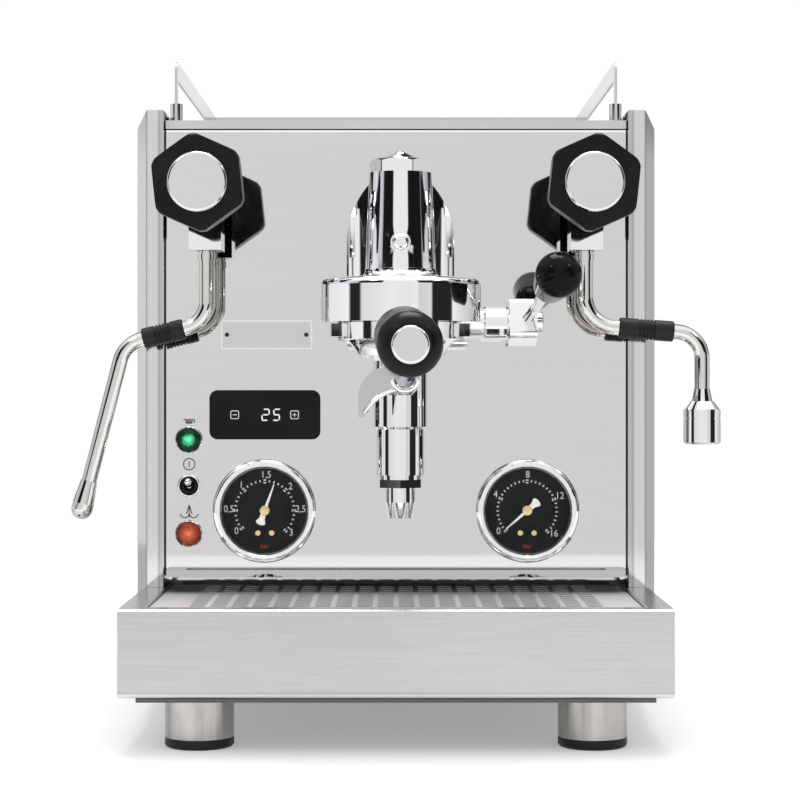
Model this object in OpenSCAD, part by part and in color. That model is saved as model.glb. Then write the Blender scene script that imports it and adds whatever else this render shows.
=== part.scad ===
// Espresso machine with a lever brew group: a sheet-steel body on four feet,
// a drip tray drawer, a removable water tank, two valves with ball-jointed
// wands, and a portafilter that locks in the group by a quarter turn.
// +X is the machine's right as seen from the front, +Y runs to the rear,
// +Z is up. The origin is on the floor under the middle of the outline.

/* [Body] */
// Width over the side panels
body_w = 300; // [290:1:330]
// Depth from the front panel's face to the rear
body_d = 317; // [305:1:350]
// Height of the top cover's upper face above the floor
top_z = 346; // [344:1:370]
// Sheet thickness of the covers
sheet = 1.5; // [1.2:0.1:2]
// Running gap between a sheet edge and its neighbour
seam = 0.6; // [0.4:0.05:0.8]
// Width of the visible front flange of a side panel
flange_w = 9.6; // [8:0.2:11]
// How far the front flange stands before the front panel
flange_proud = 10; // [7:0.5:12]
// How far the side panels rise above the top cover
side_rise = 5; // [3:0.5:8]
// Run of the bevel around a side panel's raised field
bevel = 10; // [7:0.5:12]
// Height of the front panel's lower edge
panel_bottom = 84.3; // [82:0.1:90]
// Forward reach of the deflector lip under the front panel
lip_reach = 20; // [12:1:24]
// Drop of the lip's front edge
lip_drop = 2.5; // [1:0.1:3]

/* [Feet and base] */
// Diameter of a foot
foot_d = 37; // [30:1:44]
// Height of the steel foot with its rubber
foot_h = 27; // [22:1:27]
// Thickness of the rubber sole
sole_h = 5.5; // [4:0.5:8]
// Distance of the feet in from the body's sides
foot_in = 45; // [38:1:60]
// Distance of the front feet before the front panel
foot_front = 100; // [80:1:108]
// Distance of the rear feet from the rear
foot_back = 40; // [30:1:60]
// Thickness of the base plate
base_t = 2; // [1.5:0.1:2.2]

/* [Drip tray] */
// How much narrower than the body the tray is on each side
tray_in = 5; // [4:0.5:10]
// Height of the tray's front
tray_h = 46.6; // [42:0.2:47]
// Reach of the tray before the front panel
tray_front = 133; // [125:1:140]
// Reach of the basin behind the front panel
tray_back = 82; // [50:1:84]
// Bend radius of the tray's lower front edge
tray_bend = 4; // [2:0.5:6]
// Depth of the grate's seat below the tray's rim
grate_sink = 2.1; // [1.8:0.1:3]
// Length of a grate slot along the width
slot_l = 8.5; // [6:0.1:9]
// Width of a grate slot
slot_w = 5.4; // [4:0.1:6]
// Pitch of the slots along the width
slot_pitch = 11.25; // [10.5:0.05:13]
// Pitch of the slot rows
row_pitch = 11; // [9:0.5:13]
// Number of slot columns
slot_columns = 20; // [10:1:20]
// Number of slot rows
slot_rows = 11; // [4:1:11]

/* [Cup rail] */
// Height of the rail's upper edge above the top cover
rail_h = 38; // [30:1:50]
// Height of the flat rail bar
rail_bar = 11; // [8:0.5:14]
// Thickness of the rail bar
rail_t = 1.6; // [1.2:0.1:2.4]
// Gap between a rail post and the side panel
rail_gap = 0.4; // [0.4:0.1:12]
// Distance of the rail's front legs behind the front panel
rail_front = 27; // [15:1:40]
// Distance of the rail's rear bar before the rear
rail_back = 15; // [12:1:18]
// Diameter of a slotted rail post
post_d = 7.2; // [6:0.1:8]
// Height of a rail post
post_h = 13; // [10:0.5:16]

/* [Brew group] */
// Offset of the group from the middle plane
group_x = 2.5; // [-5:0.5:5]
// Distance of the brew axis before the front panel
group_out = 72; // [70:0.5:80]
// Diameter of the brew bell
bell_d = 88; // [86:1:92]
// Height of the bell's lower rim above the floor
bell_z = 227; // [222:1:232]
// Height of the bell
bell_h = 24; // [23:0.5:28]
// Radius of the column above the bell, at its top
column_r = 17.2; // [15:0.1:19]
// Width of the shoulders behind the column
shoulder_w = 60; // [56:1:64]
// Height of the column above the bell
column_h = 57.7; // [50:0.1:60]
// Width of the top nut over its corners
top_nut_d = 34.6; // [32:0.2:38]
// Distance of the cam and valve axis behind the brew axis
cam_back = 50; // [50:0.5:52]
// Radius of the lever's cam shaft
cam_r = 5; // [4:0.1:6]
// Radial running clearance of a shaft in its bore
fit = 0.06; // [0.03:0.01:0.1]
// Diameter of the infusion chamber under the cam housing
chamber_d = 31; // [26:0.5:32]

/* [Portafilter] */
// Distance from the brew axis to the end of the handle
handle_reach = 201; // [190:1:215]
// Largest diameter of the handle
handle_d = 31; // [27:0.5:34]
// Downward tilt of the handle
handle_tilt = 3; // [0:0.5:8]
// Sideways turn of the locked handle
handle_turn = 1.2; // [0:0.1:6]
// Inner diameter of the filter basket
basket_d = 57.6; // [56:0.1:58]
// Outward reach of the spout from the brew axis
spout_reach = 23; // [20:0.5:26]

/* [Lever] */
// Length of the lever from the cam axis to the middle of its knob
lever_l = 92; // [80:1:98]
// Raised angle of the lever above the horizontal
lever_up = 14.6; // [0:0.5:20]
// Diameter of the lever's rod
lever_d = 6.3; // [5:0.1:8]
// Diameter of the egg-shaped knob
egg_d = 25; // [20:0.5:28]
// Length of the egg-shaped knob
egg_l = 43; // [34:1:48]

/* [Valves and wands] */
// Distance of the valves in from the body's sides
valve_in = 43.7; // [42:0.1:46]
// Height of the valve spindles
valve_z = 301.5; // [299:0.5:306]
// Distance of a wand's ball joint before the front panel
wand_out = 41; // [38:0.5:46]
// Distance of a knob's hub before its wand's ball joint
knob_out = 40; // [36:0.5:46]
// Width of a hexagonal valve knob over its flats
knob_af = 47; // [44:0.5:50]
// Width of a valve knob over its rounded corners
knob_d = 52.5; // [51:0.5:56]
// Diameter of a knob's metal cap
cap_d = 33; // [28:0.5:36]
// Turn of a knob's corners away from upright
knob_turn = 6; // [0:1:30]
// Diameter of a wand's tube
tube_d = 8.5; // [7:0.1:9]
// Reach of both wands beyond the body's sides
wand_over = 32.3; // [28:0.1:40]
// Drop of the steam wand's tube from its ball to its first bend
steam_drop = 34; // [30:1:38]
// Drop of the hot water wand's tube from its ball to its first bend
water_drop = 31; // [28:1:36]
// Diameter of the ball in a wand's joint
ball_d = 12.4; // [12:0.1:13]
// Length of the steam wand's lower leg
steam_leg = 85.5; // [80:1:100]
// Diameter of the steam tip's bulb
bulb_d = 12; // [10:0.1:13]
// Diameter of the hot water nozzle
nozzle_d = 20.8; // [18:0.2:23]
// Length of the hot water nozzle
nozzle_l = 31; // [26:1:36]

/* [Gauges and controls] */
// Distance of a gauge in from the body's side
gauge_in = 74; // [70:0.5:80]
// Height of the gauges
gauge_z = 120; // [118:0.5:130]
// Outer diameter of a gauge's bezel
gauge_d = 60; // [54:0.5:62]
// Diameter of a gauge's visible dial
dial_d = 49.5; // [44:0.5:50]
// How far a gauge stands before the front panel
gauge_proud = 9; // [8:0.5:12]
// Width of the display
display_w = 64.4; // [58:0.2:66]
// Height of the display
display_h = 28.6; // [24:0.2:30]
// Height of the display's middle above the floor
display_z = 175.4; // [172:0.2:184]
// Distance of the lamps and the switch in from the body's side
lamp_in = 30; // [28:0.5:32]
// Diameter of an indicator lamp
lamp_d = 16; // [12:0.5:16]
// Height of the upper lamp
lamp_high = 161; // [158:0.5:168]
// Height of the lower lamp
lamp_low = 106.5; // [104:0.5:112]
// Height of the switch
switch_z = 134.2; // [130:0.2:138]
// Angle of the switch's bat above the horizontal
bat_up = 15; // [8:1:15]
// Width of the nameplate
plate_w = 53; // [40:1:56]
// Height of the nameplate
plate_h = 17; // [12:0.5:20]
// Height of the nameplate's middle above the floor
plate_z = 221.8; // [212:0.2:232]

/* [Boiler, tank and pump] */
// Diameter of the boiler
boiler_d = 120; // [100:1:124]
// Length of the boiler
boiler_l = 116; // [100:1:120]
// Height of the boiler's axis
boiler_z = 236; // [228:1:240]
// Wall of the boiler
boiler_wall = 2; // [1.5:0.1:3]
// Width of the water tank
tank_w = 190; // [160:1:200]
// Depth of the water tank
tank_d = 104; // [90:1:106]
// Height of the water tank
tank_h = 208; // [180:1:210]
// Wall of the water tank
tank_wall = 2.5; // [2:0.1:3.5]
// Diameter of the pump
pump_d = 52; // [40:1:56]
// Length of the pump
pump_l = 84; // [70:1:90]
// Width of the control box
box_w = 78; // [60:1:80]
// Depth of the control box
box_d = 80; // [60:1:84]
// Height of the control box
box_h = 46; // [36:1:50]

/* [Hidden] */
$fn = 48;

e = 0.01;
gap = 0.3;
// A bend is this much thinner than the straight tube that laps over its end
step = 0.03;
// Planes across the depth, centred on the outline from the handle's end to the rear
total_d = group_out + handle_reach + body_d;
panel_y = group_out + handle_reach - total_d / 2;
rear_y = panel_y + body_d;
flange_y = panel_y - flange_proud;
brew_y = panel_y - group_out;
cam_y = brew_y + cam_back;
wand_y = panel_y - wand_out;
tray_y = panel_y - tray_front;
basin_y = panel_y + tray_back;
// The side panels and the space between them
half = body_w / 2;
rim_x = half - 6.4;
inner_x = rim_x - flange_w;
panel_x = inner_x - seam;
side_bottom = foot_h + base_t;
side_top = top_z + side_rise;
// The tray stands just clear of the base plate
tray_bottom = side_bottom + 0.5;
tray_w = body_w - 2 * tray_in;
foot_x = half - foot_in;
rail_x = inner_x - rail_gap - post_d / 2;
valve_x = half - valve_in;
gauge_x = half - gauge_in;
lamp_x = half - lamp_in;
wand_reach = half + wand_over;
tray_top = tray_bottom + tray_h;
basin_x = panel_x;
grate_z = tray_top - grate_sink;
grate_t = 1.5;
rim_w = tray_w / 2 - basin_x;
// The cam axis lies just above the bell's lower rim
cam_z = bell_z + 1.3;
housing_r = 15;
housing_end = group_x + 47.5;
column_z = bell_z + bell_h;
nut_z = column_z + column_h;
bore_r = 37.2;
chamber_top = cam_z - 13;
chamber_bottom = chamber_top - 46.3;
lower_bottom = chamber_bottom - 27.4;
// Levels in the bell: tabs, ears, basket rim, gasket
tab_t = 3.7;
ear_z = bell_z + tab_t + gap;
ear_t = 5.5;
ear_r = 36.7;
mouth_r = 32.3;
mouth_z = bell_z + 16.2;
neck_z = bell_z - 5;
basket_r = basket_d / 2;
bowl_z = bell_z - 18;
boss_z = bowl_z - 6;
// Wands
ball_z = valve_z - 27.5;
block_z = ball_z - 6;
steam_bend = 76;
steam_slope = 75.5;
steam_r1 = 16;
steam_r2 = 17;
water_bend = 86;
water_r1 = 18;
water_r2 = 15;
grip_d = tube_d + 3.1;
steam_arm = (wand_reach - valve_x - steam_r1 * (1 - cos(steam_bend))
    - steam_r2 * (sin(steam_slope) - cos(steam_bend)) - steam_leg * cos(steam_slope)
    - bulb_d / 2) / sin(steam_bend);
water_arm = (wand_reach - valve_x - water_r1 * (1 - cos(water_bend))
    - water_r2 * (1 - cos(water_bend)) - nozzle_d / 2) / sin(water_bend);
knob_y = wand_y - knob_out;
// The boiler lies behind the panel, and the tank behind the boiler
boiler_y = panel_y + 42;
tank_z = top_z - sheet - gap - tank_h;
tank_y = rear_y - 22 - tank_d;
lid_x = tank_w / 2 + 3;
inlet_x = half - 80;
inlet_z = 70;
inlet_w = 26.8;
inlet_h = 19.4;
switch_r = 5.6;
hub_x = housing_end + 14.3;
hub_w = 15.7;
hub_s = 23;
lever_lean = 8.2;
cap_r = 9;
steam_back = steam_bend - 90 + steam_slope;
water_leg = 17;
tip_l = 16;
post = 15;
post_x = inner_x - 18;
// The pump and the control box stand by the rear posts
box_x = post_x - post / 2 - 0.5 - box_w;
pump_x = post_x - post / 2 - 7.5 - pump_d / 2;
shelf_z = tank_z - gap;

// A disc with its upper outer edge rounded
module rounded_disc(r, h, edge) {
    rotate_extrude() {
        square([r - edge, h]);
        square([r, h - edge]);
        translate([r - edge, h - edge]) intersection() {
            circle(edge);
            square(edge);
        }
    }
}

// Outline of the group's shoulders, grown by g all round
module shoulders(g) {
    w = shoulder_w / 2 + g;
    top = column_r + 0.2 + g;
    z = bell_z + 44.7;
    h = nut_z - 4.7 + g - z;
    r = (pow(w - top, 2) + pow(h, 2)) / (2 * (w - top));
    translate([-w, bell_z - g]) square([2 * w, z - bell_z + g]);
    translate([0, z]) intersection() {
        translate([w - r, 0]) circle(r);
        translate([r - w, 0]) circle(r);
        translate([-w, 0]) square([2 * w, h]);
    }
}

// A flat rectangle with rounded corners, centred
module round_rect(w, h, r) {
    square([w - 2 * r, h], center = true);
    square([w, h - 2 * r], center = true);
    for (sx = [-1, 1], sy = [-1, 1])
        translate([sx * (w / 2 - r), sy * (h / 2 - r)]) circle(r);
}

// Stands a flat shape up so that it faces the front at depth y, t thick towards the rear
module facing(y, t) {
    translate([0, y + t, 0]) rotate([90, 0, 0]) linear_extrude(t) children();
}

// Lays what is drawn along +Z along the way out to the front
module forward(x, y, z) {
    translate([x, y, z]) rotate([90, 0, 0]) children();
}

// A tube's bend: it heads down and turns by a degrees, towards +X where a is positive
module bent_tube(bend_r, a, r) {
    module turn() {
        translate([bend_r, 0, 0]) rotate([90, 0, 180]) mirror([0, 1, 0])
            rotate_extrude(angle = abs(a)) translate([bend_r, 0]) circle(r - step);
    }
    if (a > 0) turn();
    else mirror([1, 0, 0]) turn();
}

// A straight tube that heads down and reaches a hair into the bends at its ends
module joined_tube(l, r) {
    lap = 0.05;
    translate([0, 0, -l - lap]) cylinder(h = l + 2 * lap, r = r);
}

// Places what follows at the far end of such a bend, where down is the tube's new heading
module past_bend(bend_r, a) {
    s = sign(a) * bend_r;
    translate([s, 0, 0]) rotate([0, -a, 0]) translate([-s, 0, 0]) children();
}

// ---- Body ----

module base_plate() {
    color("silver") translate([-inner_x - 2, tray_y + 5, foot_h])
        cube([2 * inner_x + 4, rear_y - tray_y - 7, base_t]);
}

module at_feet() {
    for (sx = [-1, 1], y = [panel_y - foot_front, rear_y - foot_back])
        translate([sx * foot_x, y, 0]) children();
}

module feet_steel() {
    color("silver") at_feet() translate([0, 0, sole_h])
        cylinder(h = foot_h - sole_h, d = foot_d);
}

module feet_rubber() {
    edge = 2;
    color("black") at_feet() translate([0, 0, sole_h]) mirror([0, 0, 1])
        rounded_disc(foot_d / 2, sole_h, edge);
}

module frame_posts() {
    color("gray")
        for (sx = [-1, 1], y = [basin_y + 6, tank_y - post - 2, rear_y - post - 6])
            translate([sx * post_x - post / 2, y, side_bottom]) difference() {
                cube([post, post, top_z - sheet - side_bottom]);
                translate([sx > 0 ? -e : 2, 2, -e])
                    cube([post - 2 + e, post - 4, top_z]);
            }
}

module inner_shelves() {
    rail_z = boiler_z - boiler_d / 2 - gap;
    color("gray") {
        difference() {
            translate([-post_x - post / 2, basin_y + 6 + post, rail_z - 15])
                cube([2 * post_x + post, 3, 40]);
            translate([group_x, basin_y, boiler_z]) rotate([-90, 0, 0])
                cylinder(h = 60, r = boiler_d / 2 + gap);
        }
        translate([-post_x - post / 2, tank_y - 2, shelf_z - 2])
            cube([2 * post_x + post, rear_y - post - 6 - tank_y + 2, 2]);
    }
}

// One raised pressing: a rectangle with a bevel all round, pushed in by d
module pressing(d) {
    z0 = side_bottom;
    intersection() {
        translate([0, 0, z0]) linear_extrude(side_top - z0)
            polygon([[rim_x - d, flange_y - e], [rim_x - d, flange_y + d],
                [half - d, flange_y + bevel + d / 2], [half - d, rear_y - bevel - d / 2],
                [rim_x - d, rear_y - d], [rim_x - d, rear_y + e], [inner_x - 1, rear_y + e],
                [inner_x - 1, flange_y - e]]);
        translate([0, rear_y + 1, 0]) rotate([90, 0, 0]) linear_extrude(body_d + 60)
            polygon([[inner_x - 1, z0], [rim_x - d, z0], [half - d, z0 + bevel + d / 2],
                [half - d, side_top - bevel - d / 2], [rim_x - d, side_top - d],
                [inner_x - 1, side_top - d]]);
    }
}

module side_panel() {
    flange_back = 14;
    difference() {
        intersection() {
            pressing(0);
            translate([inner_x, flange_y, side_bottom])
                cube([30, rear_y - flange_y, side_top - side_bottom]);
        }
        intersection() {
            pressing(sheet);
            translate([inner_x - 5, flange_y + sheet, side_bottom - e])
                cube([40, rear_y - flange_y - 2 * sheet, side_top - side_bottom - sheet]);
        }
    }
    for (y = [flange_y, rear_y - flange_back])
        translate([inner_x, y, side_bottom]) cube([sheet, flange_back, side_top - side_bottom]);
}

module side_panel_left() {
    color("gainsboro") mirror([1, 0, 0]) side_panel();
}

module side_panel_right() {
    color("gainsboro") side_panel();
}

// The flat round openings that the front panel has for what passes through it
module panel_openings() {
    square_hole = 10;
    for (sx = [-1, 1]) {
        translate([sx * gauge_x, gauge_z]) circle(d = dial_d + 2.9);
        translate([sx * valve_x, valve_z]) circle(9);
    }
    translate([-gauge_x, display_z]) square([display_w - square_hole, display_h - square_hole],
        center = true);
    for (z = [lamp_high, lamp_low])
        translate([-lamp_x, z]) circle(lamp_d / 2 - 2.4);
    translate([-lamp_x, switch_z]) circle(4.4);
    translate([group_x, 0]) shoulders(gap);
}

module front_panel() {
    top = top_z - sheet - 4;
    color("gainsboro") {
        facing(panel_y, sheet) difference() {
            translate([-panel_x, panel_bottom])
                square([2 * panel_x, top - panel_bottom]);
            panel_openings();
        }
        translate([0, panel_y, panel_bottom - 0.5])
            rotate([asin(lip_drop / lip_reach), 0, 0]) linear_extrude(sheet)
                intersection() {
                    round_rect(2 * panel_x - gap, 2 * lip_reach, 9);
                    translate([-panel_x, -lip_reach])
                        square([2 * panel_x, lip_reach + sheet / 2]);
                }
    }
}

module rear_panel() {
    slot = 60;
    low = side_bottom + 2;
    color("gainsboro") facing(rear_y - sheet, sheet) difference() {
        translate([-panel_x, low]) square([2 * panel_x, top_z - sheet - gap - low]);
        for (sx = [-1, 1], i = [0:7])
            translate([sx * 68 - slot / 2, top_z - 60 - 12 * i]) {
                square([slot, 4]);
                translate([0, 2]) circle(2);
                translate([slot, 2]) circle(2);
            }
        translate([inlet_x, inlet_z]) square([inlet_w + 2 * gap, inlet_h + 2 * gap], center = true);
    }
}

module top_cover() {
    fold = top_z - sheet - 4 + seam;
    color("gainsboro") {
        translate([0, 0, top_z - sheet]) linear_extrude(sheet) difference() {
            translate([-panel_x, panel_y - 2])
                square([2 * panel_x, rear_y - panel_y + 2 - sheet]);
            translate([0, tank_y + tank_d / 2])
                round_rect(2 * lid_x + 2 * seam, tank_d + 6 + 2 * seam, 8);
            for (i = [-3:3], sx = [-1, 1])
                translate([sx * 45, boiler_y + boiler_l / 2 + 12 * i]) round_rect(60, 4, 1.9);
        }
        translate([-panel_x, panel_y - 2, fold]) cube([2 * panel_x, sheet, top_z - fold]);
    }
}

// The rail: two side bars with legs at both ends, joined by the rear bar
module cup_rail() {
    top = top_z + rail_h;
    front = panel_y + rail_front;
    back = rear_y - rail_back;
    leg = top_z + 3;
    corner = rail_bar / 2;
    color("silver") {
        for (sx = [-1, 1])
            translate([sx * rail_x - rail_t / 2, 0, 0]) rotate([90, 0, 90])
                linear_extrude(rail_t) {
                    translate([front + corner - 3, top - rail_bar])
                        square([back - front - corner + 3, rail_bar]);
                    translate([front + corner - 3, top - corner]) circle(corner);
                    translate([front - 3, leg]) square([6, top - corner - leg]);
                    translate([back - 11, leg]) square([6, top - rail_bar - leg]);
                }
        translate([-rail_x, back - rail_t, top - rail_bar])
            cube([2 * rail_x, rail_t, rail_bar]);
    }
}

// Round posts with a slot that takes the rail's leg
module rail_posts() {
    slot = rail_t + 0.2;
    color("silver")
        for (sx = [-1, 1], y = [panel_y + rail_front, rear_y - rail_back - 8])
            translate([sx * rail_x, y, top_z]) difference() {
                cylinder(h = post_h, d = post_d);
                translate([-slot / 2, -post_d, 3 - 0.1]) cube([slot, 2 * post_d, post_h]);
            }
}

// ---- Drip tray ----

module drip_tray() {
    wall = 1;
    floor_z = tray_bottom + 1.5;
    w = tray_w / 2;
    back = flange_y - 1;
    reach = back - tray_y;
    top_bend = 1.4;
    color("silver") {
        // Outer skin: a bent front that wraps round the sides
        difference() {
            translate([-w, 0, 0]) rotate([90, 0, 90]) linear_extrude(tray_w) {
                translate([tray_y, tray_bottom + tray_bend])
                    square([back - tray_y, tray_h - tray_bend - top_bend]);
                translate([tray_y + top_bend, tray_bottom + tray_h / 2])
                    square([back - tray_y - top_bend, tray_h / 2]);
                translate([tray_y + top_bend, tray_bottom + tray_h - top_bend]) circle(top_bend);
                translate([tray_y + tray_bend, tray_bottom])
                    square([back - tray_y - tray_bend, tray_bend + e]);
                translate([tray_y + tray_bend, tray_bottom + tray_bend]) circle(tray_bend);
            }
            translate([-w + sheet, tray_y + sheet, tray_bottom + sheet])
                cube([tray_w - 2 * sheet, reach, tray_h - 2 * sheet]);
            translate([-w + 4, tray_y + 9, tray_bottom - 1])
                cube([tray_w - 8, reach, tray_h]);
            translate([-basin_x, tray_y + rim_w, tray_bottom])
                cube([2 * basin_x, reach, tray_h + 1]);
        }
        // Basin with a ledge that carries the grate
        difference() {
            translate([-basin_x, tray_y + rim_w - e, tray_bottom])
                cube([2 * basin_x, basin_y - tray_y - rim_w, tray_h]);
            translate([-basin_x + wall, tray_y + rim_w + wall, grate_z - grate_t])
                cube([2 * (basin_x - wall), basin_y - tray_y - rim_w - 2 * wall, 20]);
            translate([-basin_x + wall + 3, tray_y + rim_w + wall + 3, floor_z])
                cube([2 * (basin_x - wall - 3), basin_y - tray_y - rim_w - 2 * wall - 6,
                    grate_z - grate_t - floor_z + e]);
            for (sx = [-1, 1])
                translate([sx * (basin_x - 2) - 1, tray_y + rim_w + 8, tray_bottom - e])
                    cube([2, basin_y - tray_y - rim_w - 16, grate_z - grate_t - floor_z - 1]);
        }
    }
}

module drip_grate() {
    w = basin_x - 1 - 0.5;
    front = tray_y + rim_w + 1.5;
    back = panel_y + 30;
    row0 = panel_y - 94;
    color("silver") translate([0, 0, grate_z - grate_t]) linear_extrude(grate_t) difference() {
        translate([0, (front + back) / 2]) round_rect(2 * w, back - front, 4);
        for (i = [0:slot_columns - 1], j = [0:slot_rows - 1])
            translate([(i - (slot_columns - 1) / 2) * slot_pitch, row0 + j * row_pitch])
                square([slot_l, slot_w], center = true);
    }
}

// ---- Water tank, boiler and pump ----

module water_tank() {
    color("white") difference() {
        translate([0, tank_y + tank_d / 2, tank_z]) linear_extrude(tank_h)
            round_rect(tank_w, tank_d, 10);
        translate([0, tank_y + tank_d / 2, tank_z + tank_wall]) linear_extrude(tank_h)
            round_rect(tank_w - 2 * tank_wall, tank_d - 2 * tank_wall, 8);
    }
}

module tank_lid() {
    color("gainsboro") {
        translate([0, tank_y + tank_d / 2, top_z - sheet]) linear_extrude(sheet)
            round_rect(2 * lid_x, tank_d + 6, 7);
        translate([0, tank_y + tank_d / 2, top_z - sheet - gap]) linear_extrude(gap)
            round_rect(tank_w - 20, tank_d - 20, 5);
    }
}

module boiler() {
    r = boiler_d / 2;
    dome = 8;
    y0 = boiler_y;
    translate([group_x, y0, boiler_z]) rotate([-90, 0, 0]) {
        color("peru") difference() {
            union() {
                rounded_disc(r, boiler_l, dome);
                translate([0, 0, boiler_l - e]) cylinder(h = 4, r = 30);
            }
            translate([0, 0, 6]) rounded_disc(r - boiler_wall, boiler_l - 6 - boiler_wall, dome);
            translate([0, 0, boiler_l - 5]) cylinder(h = 20, r = 24);
        }
    }
}

module heating_element() {
    leg = boiler_l - 34;
    color("dimgray") translate([group_x, boiler_y + boiler_l + 4, boiler_z])
        rotate([90, 0, 0]) {
            translate([0, 0, -6]) cylinder(h = 6, r = 29, $fn = 6);
            cylinder(h = 7, r = 23.9);
            for (sx = [-1, 1]) translate([sx * 12, 0, 7 - e]) cylinder(h = leg, r = 4);
            translate([0, 0, leg + 7 - 2 * e]) rotate([90, 0, 0]) rotate_extrude(angle = 180)
                translate([12, 0]) circle(4);
        }
}

module pump() {
    y0 = rear_y - 40 - pump_l;
    z0 = side_bottom + pump_d / 2 + 6;
    color("darkgray") {
        translate([-pump_x, y0, z0]) rotate([-90, 0, 0]) {
            rounded_disc(pump_d / 2, pump_l, 4);
            translate([0, 0, -24]) cylinder(h = 24 + e, r = 14);
            translate([0, 0, -34]) cylinder(h = 10 + e, r = 6);
        }
        for (y = [y0 + 10, y0 + pump_l - 22])
            translate([-pump_x - 16, y, side_bottom]) cube([32, 12, 14]);
    }
}

module control_box() {
    rim = 8;
    color("dimgray") translate([box_x, rear_y - 45 - box_d, side_bottom]) {
        cube([box_w, box_d, box_h]);
        translate([rim, rim, box_h - e]) cube([box_w - 2 * rim, box_d - 2 * rim, 3]);
    }
}

// From each valve's tail to the rear, inward over the boiler, and down to its shell
module pipes() {
    r = 3;
    bend_r = 10;
    offset_x = 34;
    end_z = boiler_z + sqrt(pow(boiler_d / 2, 2) - pow(offset_x - r, 2)) + gap;
    y0 = panel_y + 29;
    back = 34;
    color("peru") for (sx = [-1, 1]) {
        run = valve_x - sx * group_x - offset_x - 2 * bend_r;
        translate([sx * valve_x, y0, valve_z]) mirror([sx > 0 ? 1 : 0, 0, 0]) {
            rotate([-90, 0, 0]) cylinder(h = back, r = r);
            translate([bend_r, back, 0]) rotate([0, 0, 90])
                rotate_extrude(angle = 90) translate([bend_r, 0]) circle(r - step);
            translate([bend_r - 0.05, back + bend_r, 0]) rotate([0, 90, 0])
                cylinder(h = run + 0.1, r = r);
            translate([bend_r + run, back + bend_r, -bend_r]) rotate([90, 0, 0])
                rotate_extrude(angle = 90) translate([bend_r, 0]) circle(r - step);
            translate([2 * bend_r + run, back + bend_r, end_z - valve_z])
                cylinder(h = valve_z - bend_r - end_z + 0.05, r = r);
        }
    }
}

// ---- Brew group ----

module group_body() {
    edge = 4;
    back = boiler_y;
    round_r = shoulder_w / 2 + 6;
    color("gainsboro") difference() {
        union() {
            // Bell and column
            translate([group_x, brew_y, bell_z]) {
                rounded_disc(bell_d / 2, bell_h, edge);
                translate([0, 0, bell_h - e]) rotate_extrude() difference() {
                    polygon([[0, 0], [column_r + 7, 0], [column_r + 2.1, 5],
                        [column_r, column_h], [0, column_h]]);
                    translate([column_r + 7.5, 5.4]) circle(5.4);
                }
                // Small domed plug on the column's front
                translate([0, 0, 43]) rotate([90, 0, 0]) {
                    cylinder(h = column_r + 1.6, r = 5.4);
                    translate([0, 0, column_r + 1.5]) rounded_disc(4.8, 3, 2.4);
                }
            }
            // Shoulders behind the column, running back to the boiler's flange
            intersection() {
                translate([group_x, back, 0]) rotate([90, 0, 0])
                    linear_extrude(back - brew_y - 9) shoulders(0);
                union() {
                    translate([group_x, brew_y + 10 + round_r, 0]) cylinder(h = top_z, r = round_r);
                    translate([group_x - shoulder_w, brew_y + 10 + round_r, 0])
                        cube([2 * shoulder_w, back - brew_y, top_z]);
                }
            }
            // Cam housing across, with the threaded end for the packing nut
            translate([group_x - 30, cam_y, cam_z]) rotate([0, 90, 0])
                cylinder(h = 68, r = housing_r);
            translate([group_x + 38 - e, cam_y, cam_z]) rotate([0, 90, 0])
                cylinder(h = 9.5, r = 8);
            translate([group_x, cam_y, chamber_top + gap]) cylinder(h = 16, r = 15);
        }
        // Seat of the chamber under the cam housing
        translate([group_x, cam_y, chamber_top + gap - 10]) cylinder(h = 10, r = chamber_d / 2 + gap);
        // Mouth of the bell, open below
        translate([group_x, brew_y, bell_z - 20]) cylinder(h = 20 + 22.3, r = bore_r);
        // Bore of the cam shaft
        translate([group_x + 10, cam_y, cam_z]) rotate([0, 90, 0])
            cylinder(h = 60, r = cam_r + fit);
    }
    // Bayonet tabs that carry the portafilter's ears
    color("gainsboro") translate([group_x, brew_y, bell_z]) for (a = [-25, 155])
        rotate([0, 0, a]) rotate_extrude(angle = 50)
            translate([mouth_r + 1, 0]) square([bore_r + 1 - mouth_r - 1, tab_t]);
}

module group_top_nut() {
    af_r = top_nut_d / 2;
    color("gainsboro") translate([group_x, brew_y, nut_z]) {
        rotate([0, 0, -8]) intersection() {
            cylinder(h = 7.3, r = af_r, $fn = 6);
            rotate_extrude() polygon([[0, 0], [af_r - 0.3, 0], [af_r - 0.3, 6], [af_r - 2.4, 7.3], [0, 7.3]]);
        }
        // A shallow cone with a small dome
        translate([0, 0, 7.3 - e]) rotate_extrude() {
            polygon([[0, 0], [14.2, 0], [9.6, 1], [3.6, 3.4], [0, 3.4]]);
            intersection() {
                translate([0, -0.6]) circle(5.38);
                translate([0, 3.4 - e]) square([4, 2]);
            }
        }
    }
}

module infusion_chamber() {
    r = chamber_d / 2;
    color("gainsboro") translate([group_x, cam_y, 0]) {
        translate([0, 0, chamber_bottom]) cylinder(h = chamber_top - chamber_bottom, r = r);
        translate([0, 0, chamber_bottom - 1.4]) cylinder(h = 1.4 + e, r1 = r - 1.8, r2 = r - 0.4);
        translate([0, 0, lower_bottom]) cylinder(h = chamber_bottom - 1 - lower_bottom, r = r - 1.75);
    }
}

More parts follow.
